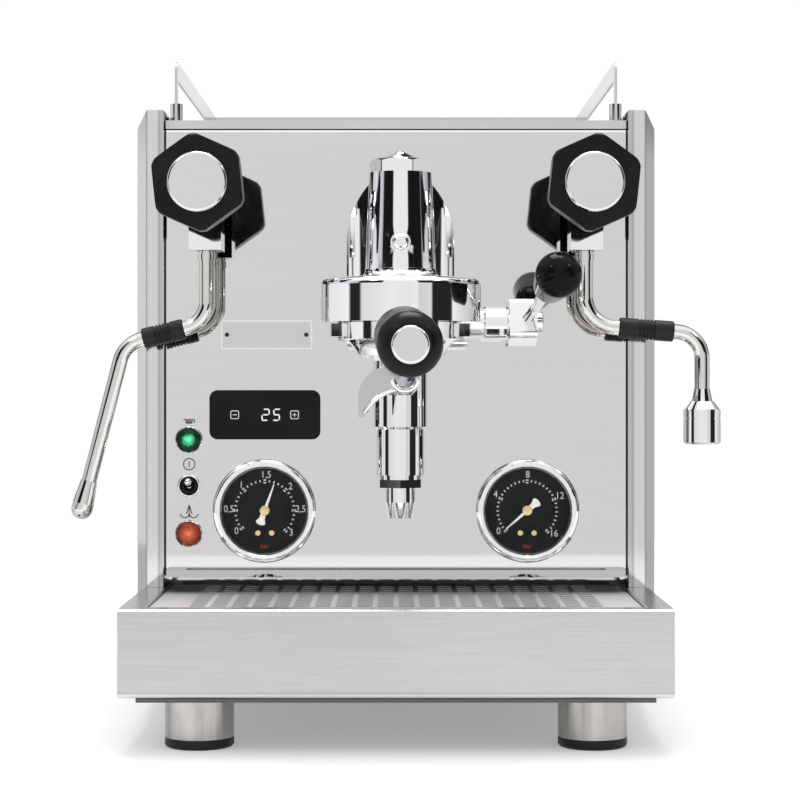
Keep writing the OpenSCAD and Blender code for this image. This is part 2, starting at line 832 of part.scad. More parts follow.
module drain_nozzle() {
    top = lower_bottom;
    color("gainsboro") translate([group_x, cam_y, 0]) {
        translate([0, 0, top - 2.6]) cylinder(h = 2.6, r = 12.3);
        translate([0, 0, top - 7.2]) rotate([0, 0, 30]) cylinder(h = 4.6 + e, r = 13.45, $fn = 6);
        difference() {
            union() {
                translate([0, 0, top - 15.6]) cylinder(h = 8.4 + e, r = 8.5);
                translate([0, 0, top - 24.6]) cylinder(h = 9 + e, r1 = 6.8, r2 = 8.5);
            }
            translate([0, 0, top - 30]) cylinder(h = 22, r = 5);
        }
    }
}

module shower_screen() {
    color("silver") translate([group_x, brew_y, mouth_z + 1.5])
        cylinder(h = 4.4, r = 27.9);
}

module group_gasket() {
    color("black") translate([group_x, brew_y, mouth_z + 1.4]) difference() {
        cylinder(h = 4.5, r = bore_r - gap);
        translate([0, 0, -e]) cylinder(h = 5, r = 28.8);
    }
}

// ---- Lever ----

module lever_nut() {
    color("gainsboro") translate([housing_end, cam_y, cam_z]) rotate([0, 90, 0]) difference() {
        intersection() {
            cylinder(h = 14, r = 10.4, $fn = 10);
            rotate_extrude() polygon([[0, 0], [9.3, 0], [10.2, 0.9], [10.2, 12.6], [8.8, 14], [0, 14]]);
        }
        translate([0, 0, -e]) cylinder(h = 15, r = cam_r + fit);
    }
}

// The square head of the lever
module hub_block() {
    translate([hub_x, cam_y, cam_z]) rotate([-lever_up, 0, 0]) rotate([90, 0, 90]) linear_extrude(hub_w)
        round_rect(hub_s, hub_s, 3);
}

// Head of the lever with its cam shaft, which runs into the group
module lever_hub() {
    color("gainsboro") {
        hub_block();
        translate([group_x + 12, cam_y, cam_z]) rotate([0, 90, 0])
            cylinder(h = hub_x - group_x - 12 + e, r = cam_r);
        translate([hub_x + hub_w - e, cam_y, cam_z]) rotate([0, 90, 0])
            rounded_disc(6.2, 3.8, 1);
    }
}

// Places what is drawn along +Z on the lever's axis, starting at the cam axis
module on_lever() {
    translate([hub_x + hub_w / 2 + 1, cam_y, cam_z])
        rotate([90 - lever_up, 0, 0]) rotate([0, lever_lean, 0]) children();
}

module lever_arm() {
    color("gainsboro") difference() {
        on_lever() translate([0, 0, 9]) cylinder(h = lever_l - 8 - 9, d = lever_d);
        hub_block();
    }
}

module lever_knob() {
    r = egg_d / 2;
    neck = 9;
    d = egg_l - r - neck;
    // The cone between the two balls touches both along their common tangent
    t = asin((r - neck) / d);
    low = r - egg_l + 1.5;
    color("black") on_lever() translate([0, 0, lever_l]) difference() {
        union() {
            sphere(r);
            translate([0, 0, -d]) sphere(neck);
            translate([0, 0, -d - neck * sin(t)])
                cylinder(h = d + neck * sin(t) - r * sin(t), r1 = neck * cos(t) + step,
                    r2 = r * cos(t) + step);
        }
        translate([0, 0, low - 10]) cylinder(h = 10, r = r);
        translate([0, 0, low - 10]) cylinder(h = -8 - low + 10, d = lever_d + 0.02);
    }
}

// ---- Portafilter ----

// Places what is drawn along +Z on the handle's axis, starting at the brew axis
module on_handle() {
    translate([group_x, brew_y, neck_z]) rotate([90 + handle_tilt, 0, handle_turn]) children();
}

module portafilter_body() {
    ear_a = 24;
    wall = 2.4;
    color("gainsboro") {
        difference() {
            union() {
                translate([group_x, brew_y, 0]) {
                    translate([0, 0, neck_z - 3]) cylinder(h = mouth_z - neck_z + 3, r = mouth_r);
                    translate([0, 0, bowl_z]) rotate_extrude() difference() {
                        square([mouth_r, neck_z - 3 - bowl_z + e]);
                        translate([mouth_r + 3.5, -2]) circle(11.5);
                    }
                    translate([0, 0, boss_z]) cylinder(h = bowl_z - boss_z + e, r = 11.5);
                    translate([0, 0, boss_z + 3]) rotate([0, 0, 15])
                        cylinder(h = bowl_z - boss_z - 3 + e, r = 15, $fn = 6);
                    // Lugs under the ears
                    for (a = [0, 180]) rotate([0, 0, a - 12]) translate([0, 0, neck_z - 2.7])
                        rotate_extrude(angle = 24) square([38.5, 7]);
                }
                on_handle() {
                    cylinder(h = 50, r = 6.4);
                    translate([0, 0, 44]) rounded_disc(9.6, 12, 1.5);
                }
            }
            // Cup for the basket, and the outlet
            translate([group_x, brew_y, bowl_z]) rotate_extrude()
                polygon([[0, wall + 1], [mouth_r - 12, wall + 1], [mouth_r - 7, 7],
                    [basket_r + 1.1, 9], [basket_r + 1.1, 60], [0, 60]]);
            translate([group_x, brew_y, bowl_z + wall - 3.4]) cylinder(h = 5, r1 = 5, r2 = 12);
            translate([group_x, brew_y, boss_z - 1]) cylinder(h = 20, r = 3.5);
        }
        // Ears that ride over the bayonet tabs
        translate([group_x, brew_y, ear_z]) for (a = [0, 180])
            rotate([0, 0, a - ear_a / 2]) rotate_extrude(angle = ear_a)
                translate([mouth_r - 1, 0]) square([ear_r - mouth_r + 1, ear_t]);
    }
}

module filter_basket() {
    wall = 0.8;
    depth = 25;
    color("silver") translate([group_x, brew_y, mouth_z]) difference() {
        union() {
            cylinder(h = 1, r = mouth_r - 0.2);
            translate([0, 0, -depth]) cylinder(h = depth + e, r = basket_r + wall);
        }
        translate([0, 0, wall - depth]) cylinder(h = depth + 2, r = basket_r);
    }
}

module portafilter_handle() {
    r = handle_d / 2;
    start = 56;
    l = handle_reach / cos(handle_tilt) / cos(handle_turn) - 2 - start;
    color("black") on_handle() translate([0, 0, start]) rotate_extrude() difference() {
        union() {
            square([9.6, l]);
            translate([0, 26]) square([r, l - 26 - 9]);
            polygon([[0, 0], [10.4, 0], [11.2, 10], [r, 34], [0, 34]]);
            translate([0, l - 9 - e]) intersection() {
                translate([r - 10, 0]) circle(10);
                square([r, 9]);
            }
            translate([0, l - 9 - e]) square([r - 7, 9]);
        }
        translate([0, l - 3]) square([cap_r, 4]);
    }
}

module handle_cap() {
    l = handle_reach / cos(handle_tilt) / cos(handle_turn) - 2;
    color("silver") on_handle() translate([0, 0, l - 3]) rounded_disc(cap_r, 5, 1.6);
}

// An open gutter that leads sideways and down from a round collector
module spout() {
    w = 18.6;
    wall = 1.9;
    tip = boss_z - 27.6;
    left = -spout_reach;
    color("gainsboro") translate([group_x, brew_y, 0]) {
        difference() {
            union() {
                translate([0, w / 2, 0]) rotate([90, 0, 0]) linear_extrude(w)
                    spout_side(left, tip, 25.4);
                translate([0, 0, boss_z - 12.5]) cylinder(h = 12.5 - gap, r = w / 2);
                translate([0, 0, boss_z - 15.7]) cylinder(h = 3.2 + e, r1 = w / 2 - 3, r2 = w / 2);
            }
            translate([0, w / 2 - wall, 0]) rotate([90, 0, 0]) linear_extrude(w - 2 * wall)
                difference() {
                    translate([left - 5, tip - 5]) square([-left + 5, 50]);
                    translate([3, boss_z - 38.5]) circle(25.4 + wall);
                }
            translate([0, 0, boss_z - 13]) cylinder(h = 20, r = w / 2 - wall);
        }
        translate([0, 0, boss_z - gap - 3]) difference() {
            cylinder(h = 3 + gap, r = w / 2);
            translate([0, 0, -e]) cylinder(h = 4, r = 3.5);
        }
        // Lip of the second mouth, which opens to the front
        difference() {
            translate([2.5, -w / 2 + 6, boss_z - 6.5]) rotate([90, 0, 0]) linear_extrude(9) difference() {
                union() {
                    intersection() {
                        circle(8);
                        translate([-8, -8]) square([16, 8]);
                    }
                    translate([-8, 0]) square([16, 5]);
                }
                circle(5.3);
                translate([-5.3, 0]) square([10.6, 6]);
            }
            translate([0, 0, boss_z - 14]) cylinder(h = 20, r = w / 2 - wall);
        }
    }
}

// Side view of the gutter: a round shoulder, a straight drop and a hollow underside
module spout_side(left, tip, under) {
    shoulder = 16.9;
    difference() {
        union() {
            translate([left + shoulder, boss_z - 17]) intersection() {
                circle(shoulder);
                translate([-shoulder, 0]) square([-left, shoulder]);
            }
            translate([left, tip]) square([-left, boss_z - 17 - tip + e]);
        }
        translate([3, boss_z - 38.5]) circle(under);
        translate([3, boss_z - 80]) square([60, 40]);
    }
}

// ---- Valves and wands ----

module valve_bodies() {
    color("gainsboro") for (sx = [-1, 1]) translate([sx * valve_x, 0, 0]) {
        difference() {
            union() {
                // Block over the ball joint
                translate([-9, wand_y - 12, block_z]) cube([18, 25, valve_z + 9 - block_z]);
                translate([0, wand_y + 13 - e, valve_z]) rotate([-90, 0, 0])
                    cylinder(h = panel_y - 3 - wand_y - 13 + e, r = 9);
                translate([0, panel_y - 4, valve_z]) rotate([-90, 0, 0])
                    cylinder(h = 4, r = 13.5, $fn = 6);
                translate([0, panel_y - e, valve_z]) rotate([-90, 0, 0]) cylinder(h = 29, r = 8);
                forward(0, wand_y - 12 + e, valve_z) cylinder(h = 9, r = 9.5, $fn = 6);
            }
            forward(0, wand_y, valve_z) cylinder(h = 40, r = 4 + fit);
            // Socket of the ball, open below so that the tube can tilt
            translate([0, wand_y, ball_z]) sphere(ball_d / 2 + gap);
            translate([0, wand_y, block_z - 1]) cylinder(h = 1 + ball_z - block_z - 2, r = 5.9);
        }
    }
}

module valve_knob(side) {
    hex_r = knob_af / sqrt(3);
    r = knob_d / 2;
    color("black") forward(side * valve_x, knob_y, valve_z) difference() {
        intersection() {
            rotate_extrude() difference() {
                union() {
                    // Hub, cone and a thick disc with rounded edges
                    square([9.5, 20]);
                    polygon([[0, -8], [8, -8], [12, 0], [17, 5], [0, 5]]);
                    translate([0, 5]) square([r - 5, 6]);
                    translate([r - 5, 10]) circle(5);
                    translate([0, 10]) square([r, 8.5]);
                    translate([0, 18]) square([r - 2.5, 3]);
                    translate([r - 2.5, 18.5]) circle(2.5);
                }
                translate([0, 18]) square([cap_d / 2, 10]);
            }
            translate([0, 0, -20]) rotate([0, 0, 90 - side * knob_turn])
                cylinder(h = 60, r = hex_r, $fn = 6);
        }
        translate([0, 0, -20]) cylinder(h = 28, r = 3.99);
    }
    // Spindle
    color("gainsboro") forward(side * valve_x, wand_y - 4, valve_z)
        cylinder(h = wand_y - 4 - knob_y + 8, r = 4);
}

module steam_knob() {
    valve_knob(-1);
}

module water_knob() {
    valve_knob(1);
}

module knob_cap(side) {
    color("silver") forward(side * valve_x, knob_y - 18, valve_z)
        rounded_disc(cap_d / 2, 5, 2.2);
}

module steam_cap() {
    knob_cap(-1);
}

module water_cap() {
    knob_cap(1);
}

module wand_ball(side) {
    color("silver") translate([side * valve_x, wand_y, ball_z]) sphere(d = ball_d);
}

module steam_ball() {
    wand_ball(-1);
}

module water_ball() {
    wand_ball(1);
}

// The tube's start with a small collar, cut concentric with the ball
module wand_start(side, drop) {
    translate([side * valve_x, wand_y, ball_z - 11.5]) difference() {
        cylinder(h = 4, r = tube_d / 2 + 0.5);
        translate([0, 0, -1]) cylinder(h = 6, r = tube_d / 2 - 1);
    }
    difference() {
        translate([side * valve_x, wand_y, ball_z]) joined_tube(drop, tube_d / 2);
        translate([side * valve_x, wand_y, ball_z]) sphere(ball_d / 2 + gap);
        translate([side * valve_x, wand_y, ball_z - 3]) cylinder(h = 10, r = 9);
    }
}

// Places what follows at the start of a wand's first bend, heading down
module at_steam() {
    mirror([1, 0, 0]) translate([valve_x, wand_y, ball_z - steam_drop]) children();
}

module at_water() {
    translate([valve_x, wand_y, ball_z - water_drop]) children();
}

module at_steam_arm() {
    at_steam() past_bend(steam_r1, steam_bend) children();
}

module at_steam_leg() {
    at_steam_arm() translate([0, 0, -steam_arm]) past_bend(steam_r2, -steam_back) children();
}

module at_water_arm() {
    at_water() past_bend(water_r1, water_bend) children();
}

module at_water_leg() {
    at_water_arm() translate([0, 0, -water_arm]) past_bend(water_r2, -water_bend) children();
}

module steam_wand() {
    r = tube_d / 2;
    l = steam_leg - tip_l - 0.06;
    color("gainsboro") {
        wand_start(-1, steam_drop);
        at_steam() bent_tube(steam_r1, steam_bend, r);
        at_steam_arm() joined_tube(steam_arm, r);
        at_steam_arm() translate([0, 0, -steam_arm]) bent_tube(steam_r2, -steam_back, r);
        at_steam_leg() joined_tube(l, r);
    }
}

module water_wand() {
    r = tube_d / 2;
    color("gainsboro") {
        wand_start(1, water_drop);
        at_water() bent_tube(water_r1, water_bend, r);
        at_water_arm() joined_tube(water_arm, r);
        at_water_arm() translate([0, 0, -water_arm]) bent_tube(water_r2, -water_bend, r);
        at_water_leg() joined_tube(water_leg - 0.06, r);
    }
}

// Rubber sleeve with a band of ribs in its middle
module grip(l) {
    ribs = 5;
    rib_pitch = 2;
    end = 1.2;
    bore = tube_d / 2 + 0.02;
    color("black") translate([0, 0, -l]) rotate_extrude() difference() {
        union() {
            translate([bore, 0]) square([grip_d / 2 - end - bore, l]);
            translate([bore, end]) square([grip_d / 2 - bore, l - 2 * end]);
            for (z = [end, l - end]) intersection() {
                translate([grip_d / 2 - end, z]) circle(end);
                translate([bore, 0]) square([grip_d / 2 - bore, l]);
            }
        }
        for (i = [0:ribs - 1])
            translate([grip_d / 2, l / 2 + (i - (ribs - 1) / 2) * rib_pitch]) circle(0.6);
    }
}

module steam_grip() {
    at_steam_arm() translate([0, 0, -0.5]) grip(steam_arm - 1);
}

module water_grip() {
    at_water_arm() translate([0, 0, -2]) grip(water_arm - 4);
}

// Bulb with four jets around its rounded end
module steam_tip() {
    r = bulb_d / 2;
    color("gainsboro") at_steam_leg() translate([0, 0, -steam_leg]) difference() {
        union() {
            sphere(r);
            cylinder(h = 3, r = r);
            translate([0, 0, 3 - e]) cylinder(h = tip_l - 3, r1 = r, r2 = tube_d / 2 + 0.3);
        }
        for (a = [0:90:270]) rotate([0, 0, a]) rotate([0, 130, 0]) cylinder(h = 9, r = 0.7);
    }
}

module water_nozzle() {
    r = nozzle_d / 2;
    color("gainsboro") at_water_leg() translate([0, 0, -water_leg - nozzle_l]) difference() {
        union() {
            translate([0, 0, 1]) cylinder(h = nozzle_l - 12.5, r = r);
            cylinder(h = 1 + e, r1 = r - 1.2, r2 = r);
            translate([0, 0, nozzle_l - 11.5 - e]) cylinder(h = 4.5, r1 = r - 0.6, r2 = r - 4);
            translate([0, 0, nozzle_l - 7 - 2 * e]) cylinder(h = 7, r1 = r - 4.6, r2 = r - 6);
        }
        translate([0, 0, -1]) cylinder(h = 12, r = r - 2.2);
        rotate_extrude() translate([r + 0.2, nozzle_l - 16.5]) square([1, 0.8], center = true);
    }
}

// ---- Gauges and controls ----

module at_gauges() {
    for (sx = [-1, 1]) translate([sx * gauge_x, panel_y, gauge_z]) rotate([90, 0, 0]) children();
}

module gauge_cases() {
    r = gauge_d / 2;
    inner = dial_d / 2;
    can = inner + 1.3;
    color("gainsboro") at_gauges() {
        rotate_extrude() difference() {
            union() {
                translate([inner, 0]) square([r - inner, gauge_proud - 2.6]);
                translate([inner + 1, 0]) square([r - inner - 3.6, gauge_proud]);
                translate([r - 2.6, gauge_proud - 2.6]) circle(2.6);
            }
            translate([inner - 2, gauge_proud + 1.2]) rotate(-45) square([5, 2], center = true);
        }
        translate([0, 0, -24]) difference() {
            cylinder(h = 24 + e, r = can);
            translate([0, 0, 1.5]) cylinder(h = 30, r = inner);
        }
        translate([0, 0, -36]) cylinder(h = 12 + e, r = 5);
    }
}

module gauge_dials() {
    color("black") at_gauges() difference() {
        translate([0, 0, 1]) cylinder(h = 1, r = dial_d / 2 - 0.1);
        cylinder(h = 3, r = 0.8 + fit);
    }
}

module gauge_glasses() {
    color([0.9, 0.95, 1, 0.3]) at_gauges()
        translate([0, 0, gauge_proud - 2.2]) cylinder(h = 1.2, r = dial_d / 2 - 0.1);
}

// Pointer on a fine shaft, turned clockwise from upright by a
module needle(side, a) {
    l = dial_d / 2 - 8.6;
    color("white") translate([side * gauge_x, panel_y, gauge_z]) rotate([90, 0, 0]) {
        translate([0, 0, 2.6]) cylinder(h = 1.8, r = 2.8);
        translate([0, 0, -3]) cylinder(h = 6, r = 0.8);
        translate([0, 0, 3]) rotate([0, 0, -a]) linear_extrude(0.6)
            polygon([[-0.9, 0], [-0.25, l], [0.25, l], [0.9, 0], [1.5, -8], [-1.5, -8]]);
    }
}

module steam_needle() {
    needle(-1, 19.5);
}

module pump_needle() {
    needle(1, -131);
}

module display() {
    color("black") {
        translate([-gauge_x, 0, display_z]) facing(panel_y - 1.2, 1.2)
            round_rect(display_w, display_h, 4.8);
        translate([-gauge_x, 0, display_z]) facing(panel_y - e, 14)
            square([display_w - 10 - 2 * gap, display_h - 10 - 2 * gap], center = true);
    }
}

module indicator_lamps() {
    color("tomato") for (z = [lamp_high, lamp_low])
        translate([-lamp_x, panel_y, z]) rotate([90, 0, 0]) {
            rounded_disc(lamp_d / 2, 3.2, 2);
            translate([0, 0, -18]) cylinder(h = 18 + e, r = lamp_d / 2 - 2.4 - gap);
        }
}

module switch_bezel() {
    color("silver") translate([-lamp_x, panel_y, switch_z]) rotate([90, 0, 0]) difference() {
        union() {
            rounded_disc(switch_r + 1, 2.2, 0.8);
            translate([0, 0, -15]) cylinder(h = 15 + e, r = 4.1);
        }
        // Well round the bat
        translate([0, 0, 1.2]) cylinder(h = 5, r = switch_r);
        translate([0, 0, -4]) cylinder(h = 6, r = 3.2);
        translate([0, 0, -0.4]) cylinder(h = 1.7, r1 = 3.2, r2 = 4.9);
    }
}

// Bat that tips about a point just behind the panel
module toggle_bat() {
    color("silver") translate([-lamp_x, panel_y + 1, switch_z]) rotate([90 - bat_up, 0, 0]) {
        sphere(2.3);
        cylinder(h = 10, r1 = 1.3, r2 = 2.1);
        translate([0, 0, 10]) sphere(2.1);
    }
}

module nameplate() {
    color("gainsboro") translate([-gauge_x + 1, 0, plate_z]) {
        facing(panel_y - 0.8, 0.8) round_rect(plate_w, plate_h, 1);
        facing(panel_y - 1.3, 0.5 + e) difference() {
            round_rect(plate_w, plate_h, 1);
            round_rect(plate_w - 2, plate_h - 2, 0.6);
        }
        for (sx = [-1, 1]) translate([sx * (plate_w / 2 - 3.5), panel_y - 0.8 + e, 0])
            rotate([90, 0, 0]) rounded_disc(1.3, 0.7, 0.3);
    }
}

// Appliance inlet with its three blades
module power_inlet() {
    depth = 24;
    wall = 1.4;
    color("black") translate([inlet_x, 0, inlet_z]) {
        facing(rear_y - depth, depth) difference() {
            square([inlet_w, inlet_h], center = true);
            square([inlet_w - 2 * wall, inlet_h - 2 * wall], center = true);
        }
        facing(rear_y - depth - 2, 2 + e) square([inlet_w, inlet_h], center = true);
        for (x = [-7, 0, 7]) translate([x - 1, rear_y - depth - e, x == 0 ? 1 : -4])
            cube([2, 18, 4]);
    }
}

base_plate();
feet_steel();
feet_rubber();
frame_posts();
inner_shelves();
side_panel_left();
side_panel_right();
front_panel();
rear_panel();
top_cover();
cup_rail();
rail_posts();
drip_tray();
drip_grate();
water_tank();
tank_lid();
boiler();
heating_element();
pump();
control_box();
pipes();
group_body();
group_top_nut();
infusion_chamber();
drain_nozzle();
shower_screen();
group_gasket();
lever_nut();
lever_hub();
lever_arm();
lever_knob();
portafilter_body();
filter_basket();
portafilter_handle();
handle_cap();
spout();
valve_bodies();
steam_knob();
water_knob();
steam_cap();
water_cap();
steam_ball();
water_ball();
steam_wand();
water_wand();
steam_grip();
water_grip();
steam_tip();
water_nozzle();
gauge_cases();
gauge_dials();
gauge_glasses();
steam_needle();
pump_needle();
display();
indicator_lamps();
switch_bezel();
toggle_bat();
nameplate();
power_inlet();
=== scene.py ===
# %% [markdown]
# An espresso machine with a lever brew group. The solid shapes come as a fixed frame, with one
# object for each node. This script gives them their finishes and adds what is printed, lit or too
# fine for the frame.

import math

import bpy
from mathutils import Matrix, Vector


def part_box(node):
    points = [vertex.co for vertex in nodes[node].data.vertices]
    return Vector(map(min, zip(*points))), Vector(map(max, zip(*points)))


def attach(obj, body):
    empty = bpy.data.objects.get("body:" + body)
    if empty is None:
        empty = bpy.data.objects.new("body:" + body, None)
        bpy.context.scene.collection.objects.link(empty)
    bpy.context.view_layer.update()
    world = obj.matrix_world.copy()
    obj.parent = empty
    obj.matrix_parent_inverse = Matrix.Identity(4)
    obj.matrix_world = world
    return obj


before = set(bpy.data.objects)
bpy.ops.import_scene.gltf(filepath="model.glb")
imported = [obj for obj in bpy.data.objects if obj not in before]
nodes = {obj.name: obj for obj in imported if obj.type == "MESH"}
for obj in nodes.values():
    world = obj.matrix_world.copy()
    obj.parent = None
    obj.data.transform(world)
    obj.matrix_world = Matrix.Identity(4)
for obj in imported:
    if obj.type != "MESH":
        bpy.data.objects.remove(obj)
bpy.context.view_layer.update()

# %% [markdown]
# The camera stands level in front of the machine, a little below the middle of its body, with a
# long lens, so upright edges stay upright. A small shift frames the machine instead of a tilt.

# %% Camera
camera_data = bpy.data.cameras.new("camera")
camera_data.lens = 98.87
camera_data.sensor_width = 36
camera_data.shift_x = 0.0044
camera_data.shift_y = -0.0238
camera_data.clip_start = 0.02
camera = bpy.data.objects.new("camera", camera_data)
camera.location = (0, -1.297, 0.195)
camera.rotation_euler = (math.pi / 2, 0, 0)
bpy.context.collection.objects.link(camera)
bpy.context.scene.camera = camera
bpy.context.scene.view_settings.view_transform = "Standard"
print("camera", tuple(camera.location))

# %% [markdown]
# Finishes and lights are graphs of nodes. Two helpers keep them short to write: one adds a node
# with its settings and links, the other adds a colour ramp from a plain list.

# %% Helpers for node graphs
def graph(tree):
    """Returns a function that adds a node, sets its properties and links or sets its inputs."""
    def add(kind, inputs=None, **settings):
        node = tree.nodes.new(kind)
        for key, value in settings.items():
            setattr(node, key, value)
        for key, value in (inputs or {}).items():
            if isinstance(value, bpy.types.NodeSocket):
                tree.links.new(value, node.inputs[key])
            else:
                node.inputs[key].default_value = value
        return node
    return add


def ramp(add, factor, stops):
    """A colour ramp from a list of (place, colour or grey)."""
    node = add("ShaderNodeValToRGB", {0: factor})
    while len(node.color_ramp.elements) < len(stops):
        node.color_ramp.elements.new(0.5)
    for element, (place, tint) in zip(node.color_ramp.elements, sorted(stops, key=lambda s: s[0])):
        element.position = place
        element.color = (*tint, 1) if isinstance(tint, tuple) else (tint, tint, tint, 1)
    return node.outputs[0]


print("helpers for nodes ready")

# %% [markdown]
# Chrome shows the room and hardly itself, so the room is what makes it look like chrome. A studio
# gives it broad white walls with dark gaps between them. Here the gaps are painted on the world by
# compass direction, which lights every side and stands in no camera's way. The lower ring of walls
# is what upright metal sees, and the raised ring is what a tapered column or a rail sees.

# %% Studio world
world = bpy.data.worlds.new("studio")
bpy.context.scene.world = world
world.use_nodes = True
world.node_tree.nodes.clear()
add = graph(world.node_tree)
direction = add("ShaderNodeSeparateXYZ", {0: add("ShaderNodeTexCoord").outputs["Generated"]})
east, north, up = direction.outputs
south = add("ShaderNodeMath", {0: north, 1: -1.0}, operation="MULTIPLY").outputs[0]
compass = add("ShaderNodeMath", {0: east, 1: south}, operation="ARCTAN2").outputs[0]
around = add("ShaderNodeMapRange", {0: compass, 1: -math.pi, 2: math.pi}).outputs[0]


def walls_of(stops):
    """A ring of walls from (degrees to the right of the camera's stand, brightness) pairs."""
    return ramp(add, around, [(degrees / 360 + 0.5, tint) for degrees, tint in stops])


BLACK, DARK, SOFT_BLUE = 0.01, 0.012, (0.60, 0.63, 0.67)
level = walls_of([
    (-180, 0.58), (-160, 0.55), (-125, 0.90), (-96, 0.95), (-80, 1.0), (-76, 0.02), (-60, 0.02),
    (-57, 0.80), (-12, 0.95), (10, 0.90), (24, 0.95), (26, 0.72), (44, 0.80), (46, 0.02), (77, 0.02),
    (80, 1.0), (92, 0.85), (130, 0.55), (180, 0.58)])
raised = walls_of([
    (-180, 1.0), (-162, 0.9), (-156, DARK), (-135, DARK), (-124, SOFT_BLUE),
    (-100, (0.80, 0.82, 0.85)), (-66, SOFT_BLUE), (-61, BLACK), (-27, BLACK), (-24, 0.95),
    (24, 0.95), (27, BLACK), (73, BLACK), (78, (0.34, 0.36, 0.40)), (92, (0.66, 0.68, 0.71)),
    (112, (0.40, 0.42, 0.46)), (132, DARK), (156, DARK), (162, 0.9), (180, 1.0)])
height = add("ShaderNodeMapRange", {0: up, 1: 0.10, 2: 0.125}).outputs[0]
walls = add("ShaderNodeMix", {0: height, 6: level, 7: raised}, data_type="RGBA").outputs[2]
print("walls made")

# %% [markdown]
# Higher up, the ceiling is one bright sheet. Behind the machine a dark gap hangs over the walls
# with one narrow bright beam in it, which draws the thin streak on a polished dome. Only mirrors
# see this room: the eye, and the light that falls on matt pieces, get a plain white one.

# %% Ceiling and the gap behind
ceiling = add("ShaderNodeMapRange", {0: up, 1: 0.45, 2: 0.75}).outputs[0]
room = add("ShaderNodeMix", {0: ceiling, 6: walls, 7: (1.3, 1.3, 1.3, 1)}, data_type="RGBA").outputs[2]
behind = add("ShaderNodeMapRange", {0: north, 1: 0.35, 2: 0.45}).outputs[0]
raised_there = add("ShaderNodeMapRange", {0: up, 1: 0.28, 2: 0.34}).outputs[0]
gap_above = add("ShaderNodeMath", {0: behind, 1: raised_there}, operation="MULTIPLY").outputs[0]
beam = ramp(add, add("ShaderNodeMapRange", {0: east, 1: -1.0, 2: 1.0}).outputs[0], [
    (0, 0.50), (0.28, 0.42), (0.40, 0.05), (0.45, 0.03), (0.465, 1.1), (0.50, 1.1), (0.515, 0.03),
    (0.60, 0.05), (0.72, 0.42), (1, 0.50)])
room = add("ShaderNodeMix", {0: gap_above, 6: room, 7: beam}, data_type="RGBA").outputs[2]
rays = add("ShaderNodeLightPath").outputs
matt = add("ShaderNodeMath", {0: rays["Is Camera Ray"], 1: rays["Is Diffuse Ray"]},
    operation="MAXIMUM").outputs[0]
shown = add("ShaderNodeMix", {0: matt, 6: room, 7: (1, 1, 1, 1)}, data_type="RGBA").outputs[2]
sky = add("ShaderNodeBackground", {0: shown, 1: 1.0})
add("ShaderNodeOutputWorld", {0: sky.outputs[0]})
print("world nodes", len(world.node_tree.nodes))

# %% [markdown]
# The floor is a plain pale sheet. Polished metal doubles whatever lies beside it, and panels over a
# white floor would turn white and lose their edges, so beside and behind the machine a reflection
# meets a duskier floor than the eye does. A soft light from above and one from each side give the
# black mouldings their highlights and set the feet on the floor.

# %% Floor and lights
bpy.ops.object.select_all(action="DESELECT")
bpy.ops.mesh.primitive_plane_add(size=2.6, location=(0, 0.1, 0))
floor = bpy.context.object
floor.name = "floor"
floor_paint = bpy.data.materials.new("floor paint")
floor_paint.use_nodes = True
paint = floor_paint.node_tree.nodes["Principled BSDF"]
add = graph(floor_paint.node_tree)
spot = add("ShaderNodeTexCoord").outputs["Object"]
mottle = add("ShaderNodeTexNoise", {"Vector": spot, "Scale": 3.0})
link = floor_paint.node_tree.links.new
link(ramp(add, mottle.outputs[0], [(0.3, 0.70), (0.7, 0.73)]), paint.inputs["Base Color"])
paint.inputs["Roughness"].default_value = 0.7
paint.inputs["Emission Color"].default_value = (1, 1, 1, 1)
paint.inputs["Emission Strength"].default_value = 0.30
depth = add("ShaderNodeSeparateXYZ", {0: spot}).outputs[1]
behind_it = add("ShaderNodeMapRange", {0: depth, 1: -0.42, 2: 0.0, 3: 0.0, 4: 0.62}).outputs[0]
mirrored = add("ShaderNodeLightPath").outputs["Is Glossy Ray"]
share = add("ShaderNodeMath", {0: mirrored, 1: behind_it}, operation="MULTIPLY").outputs[0]
dusk = add("ShaderNodeEmission", {0: (0.24, 0.24, 0.245, 1)}).outputs[0]
mixed = add("ShaderNodeMixShader", {0: share, 1: paint.outputs[0], 2: dusk}).outputs[0]
link(mixed, floor_paint.node_tree.nodes["Material Output"].inputs["Surface"])
floor.data.materials.append(floor_paint)
print("floor", tuple(floor.dimensions))


def soft_light(name, place, target, size, power):
    """A square soft light aimed at a point."""
    data = bpy.data.lights.new(name, "AREA")
    data.size = size
    data.energy = power
    lamp = bpy.data.objects.new(name, data)
    lamp.location = place
    lamp.rotation_euler = (Vector(target) - Vector(place)).to_track_quat("-Z", "Y").to_euler()
    bpy.context.collection.objects.link(lamp)
    print(name, "light,", power, "W")


soft_light("overhead", (0.0, 0.25, 1.5), (0, -0.05, 0.25), 0.80, 15)
soft_light("key", (-0.9, -1.0, 1.3), (0, 0, 0.2), 0.25, 1.6)
soft_light("fill", (1.1, -0.7, 1.2), (0, 0, 0.2), 0.2, 1.2)

# %% [markdown]
# Metals. Polished sheet, chrome, brushed tube and bare castings differ only in their tint, in how
# sharp their reflections are, and in the direction of their fine scratches. One function makes all
# of them, with a slow variation of sheen and a very fine grain that is stretched along one axis.

# %% Metals
def finish(name):
    """A new node material, its adder, its shader, its Object coordinates and its linker."""
    material = bpy.data.materials.new(name)
    material.use_nodes = True
    add = graph(material.node_tree)
    shader = material.node_tree.nodes["Principled BSDF"]
    place = add("ShaderNodeTexCoord").outputs["Object"]
    return material, add, shader, place, material.node_tree.links.new


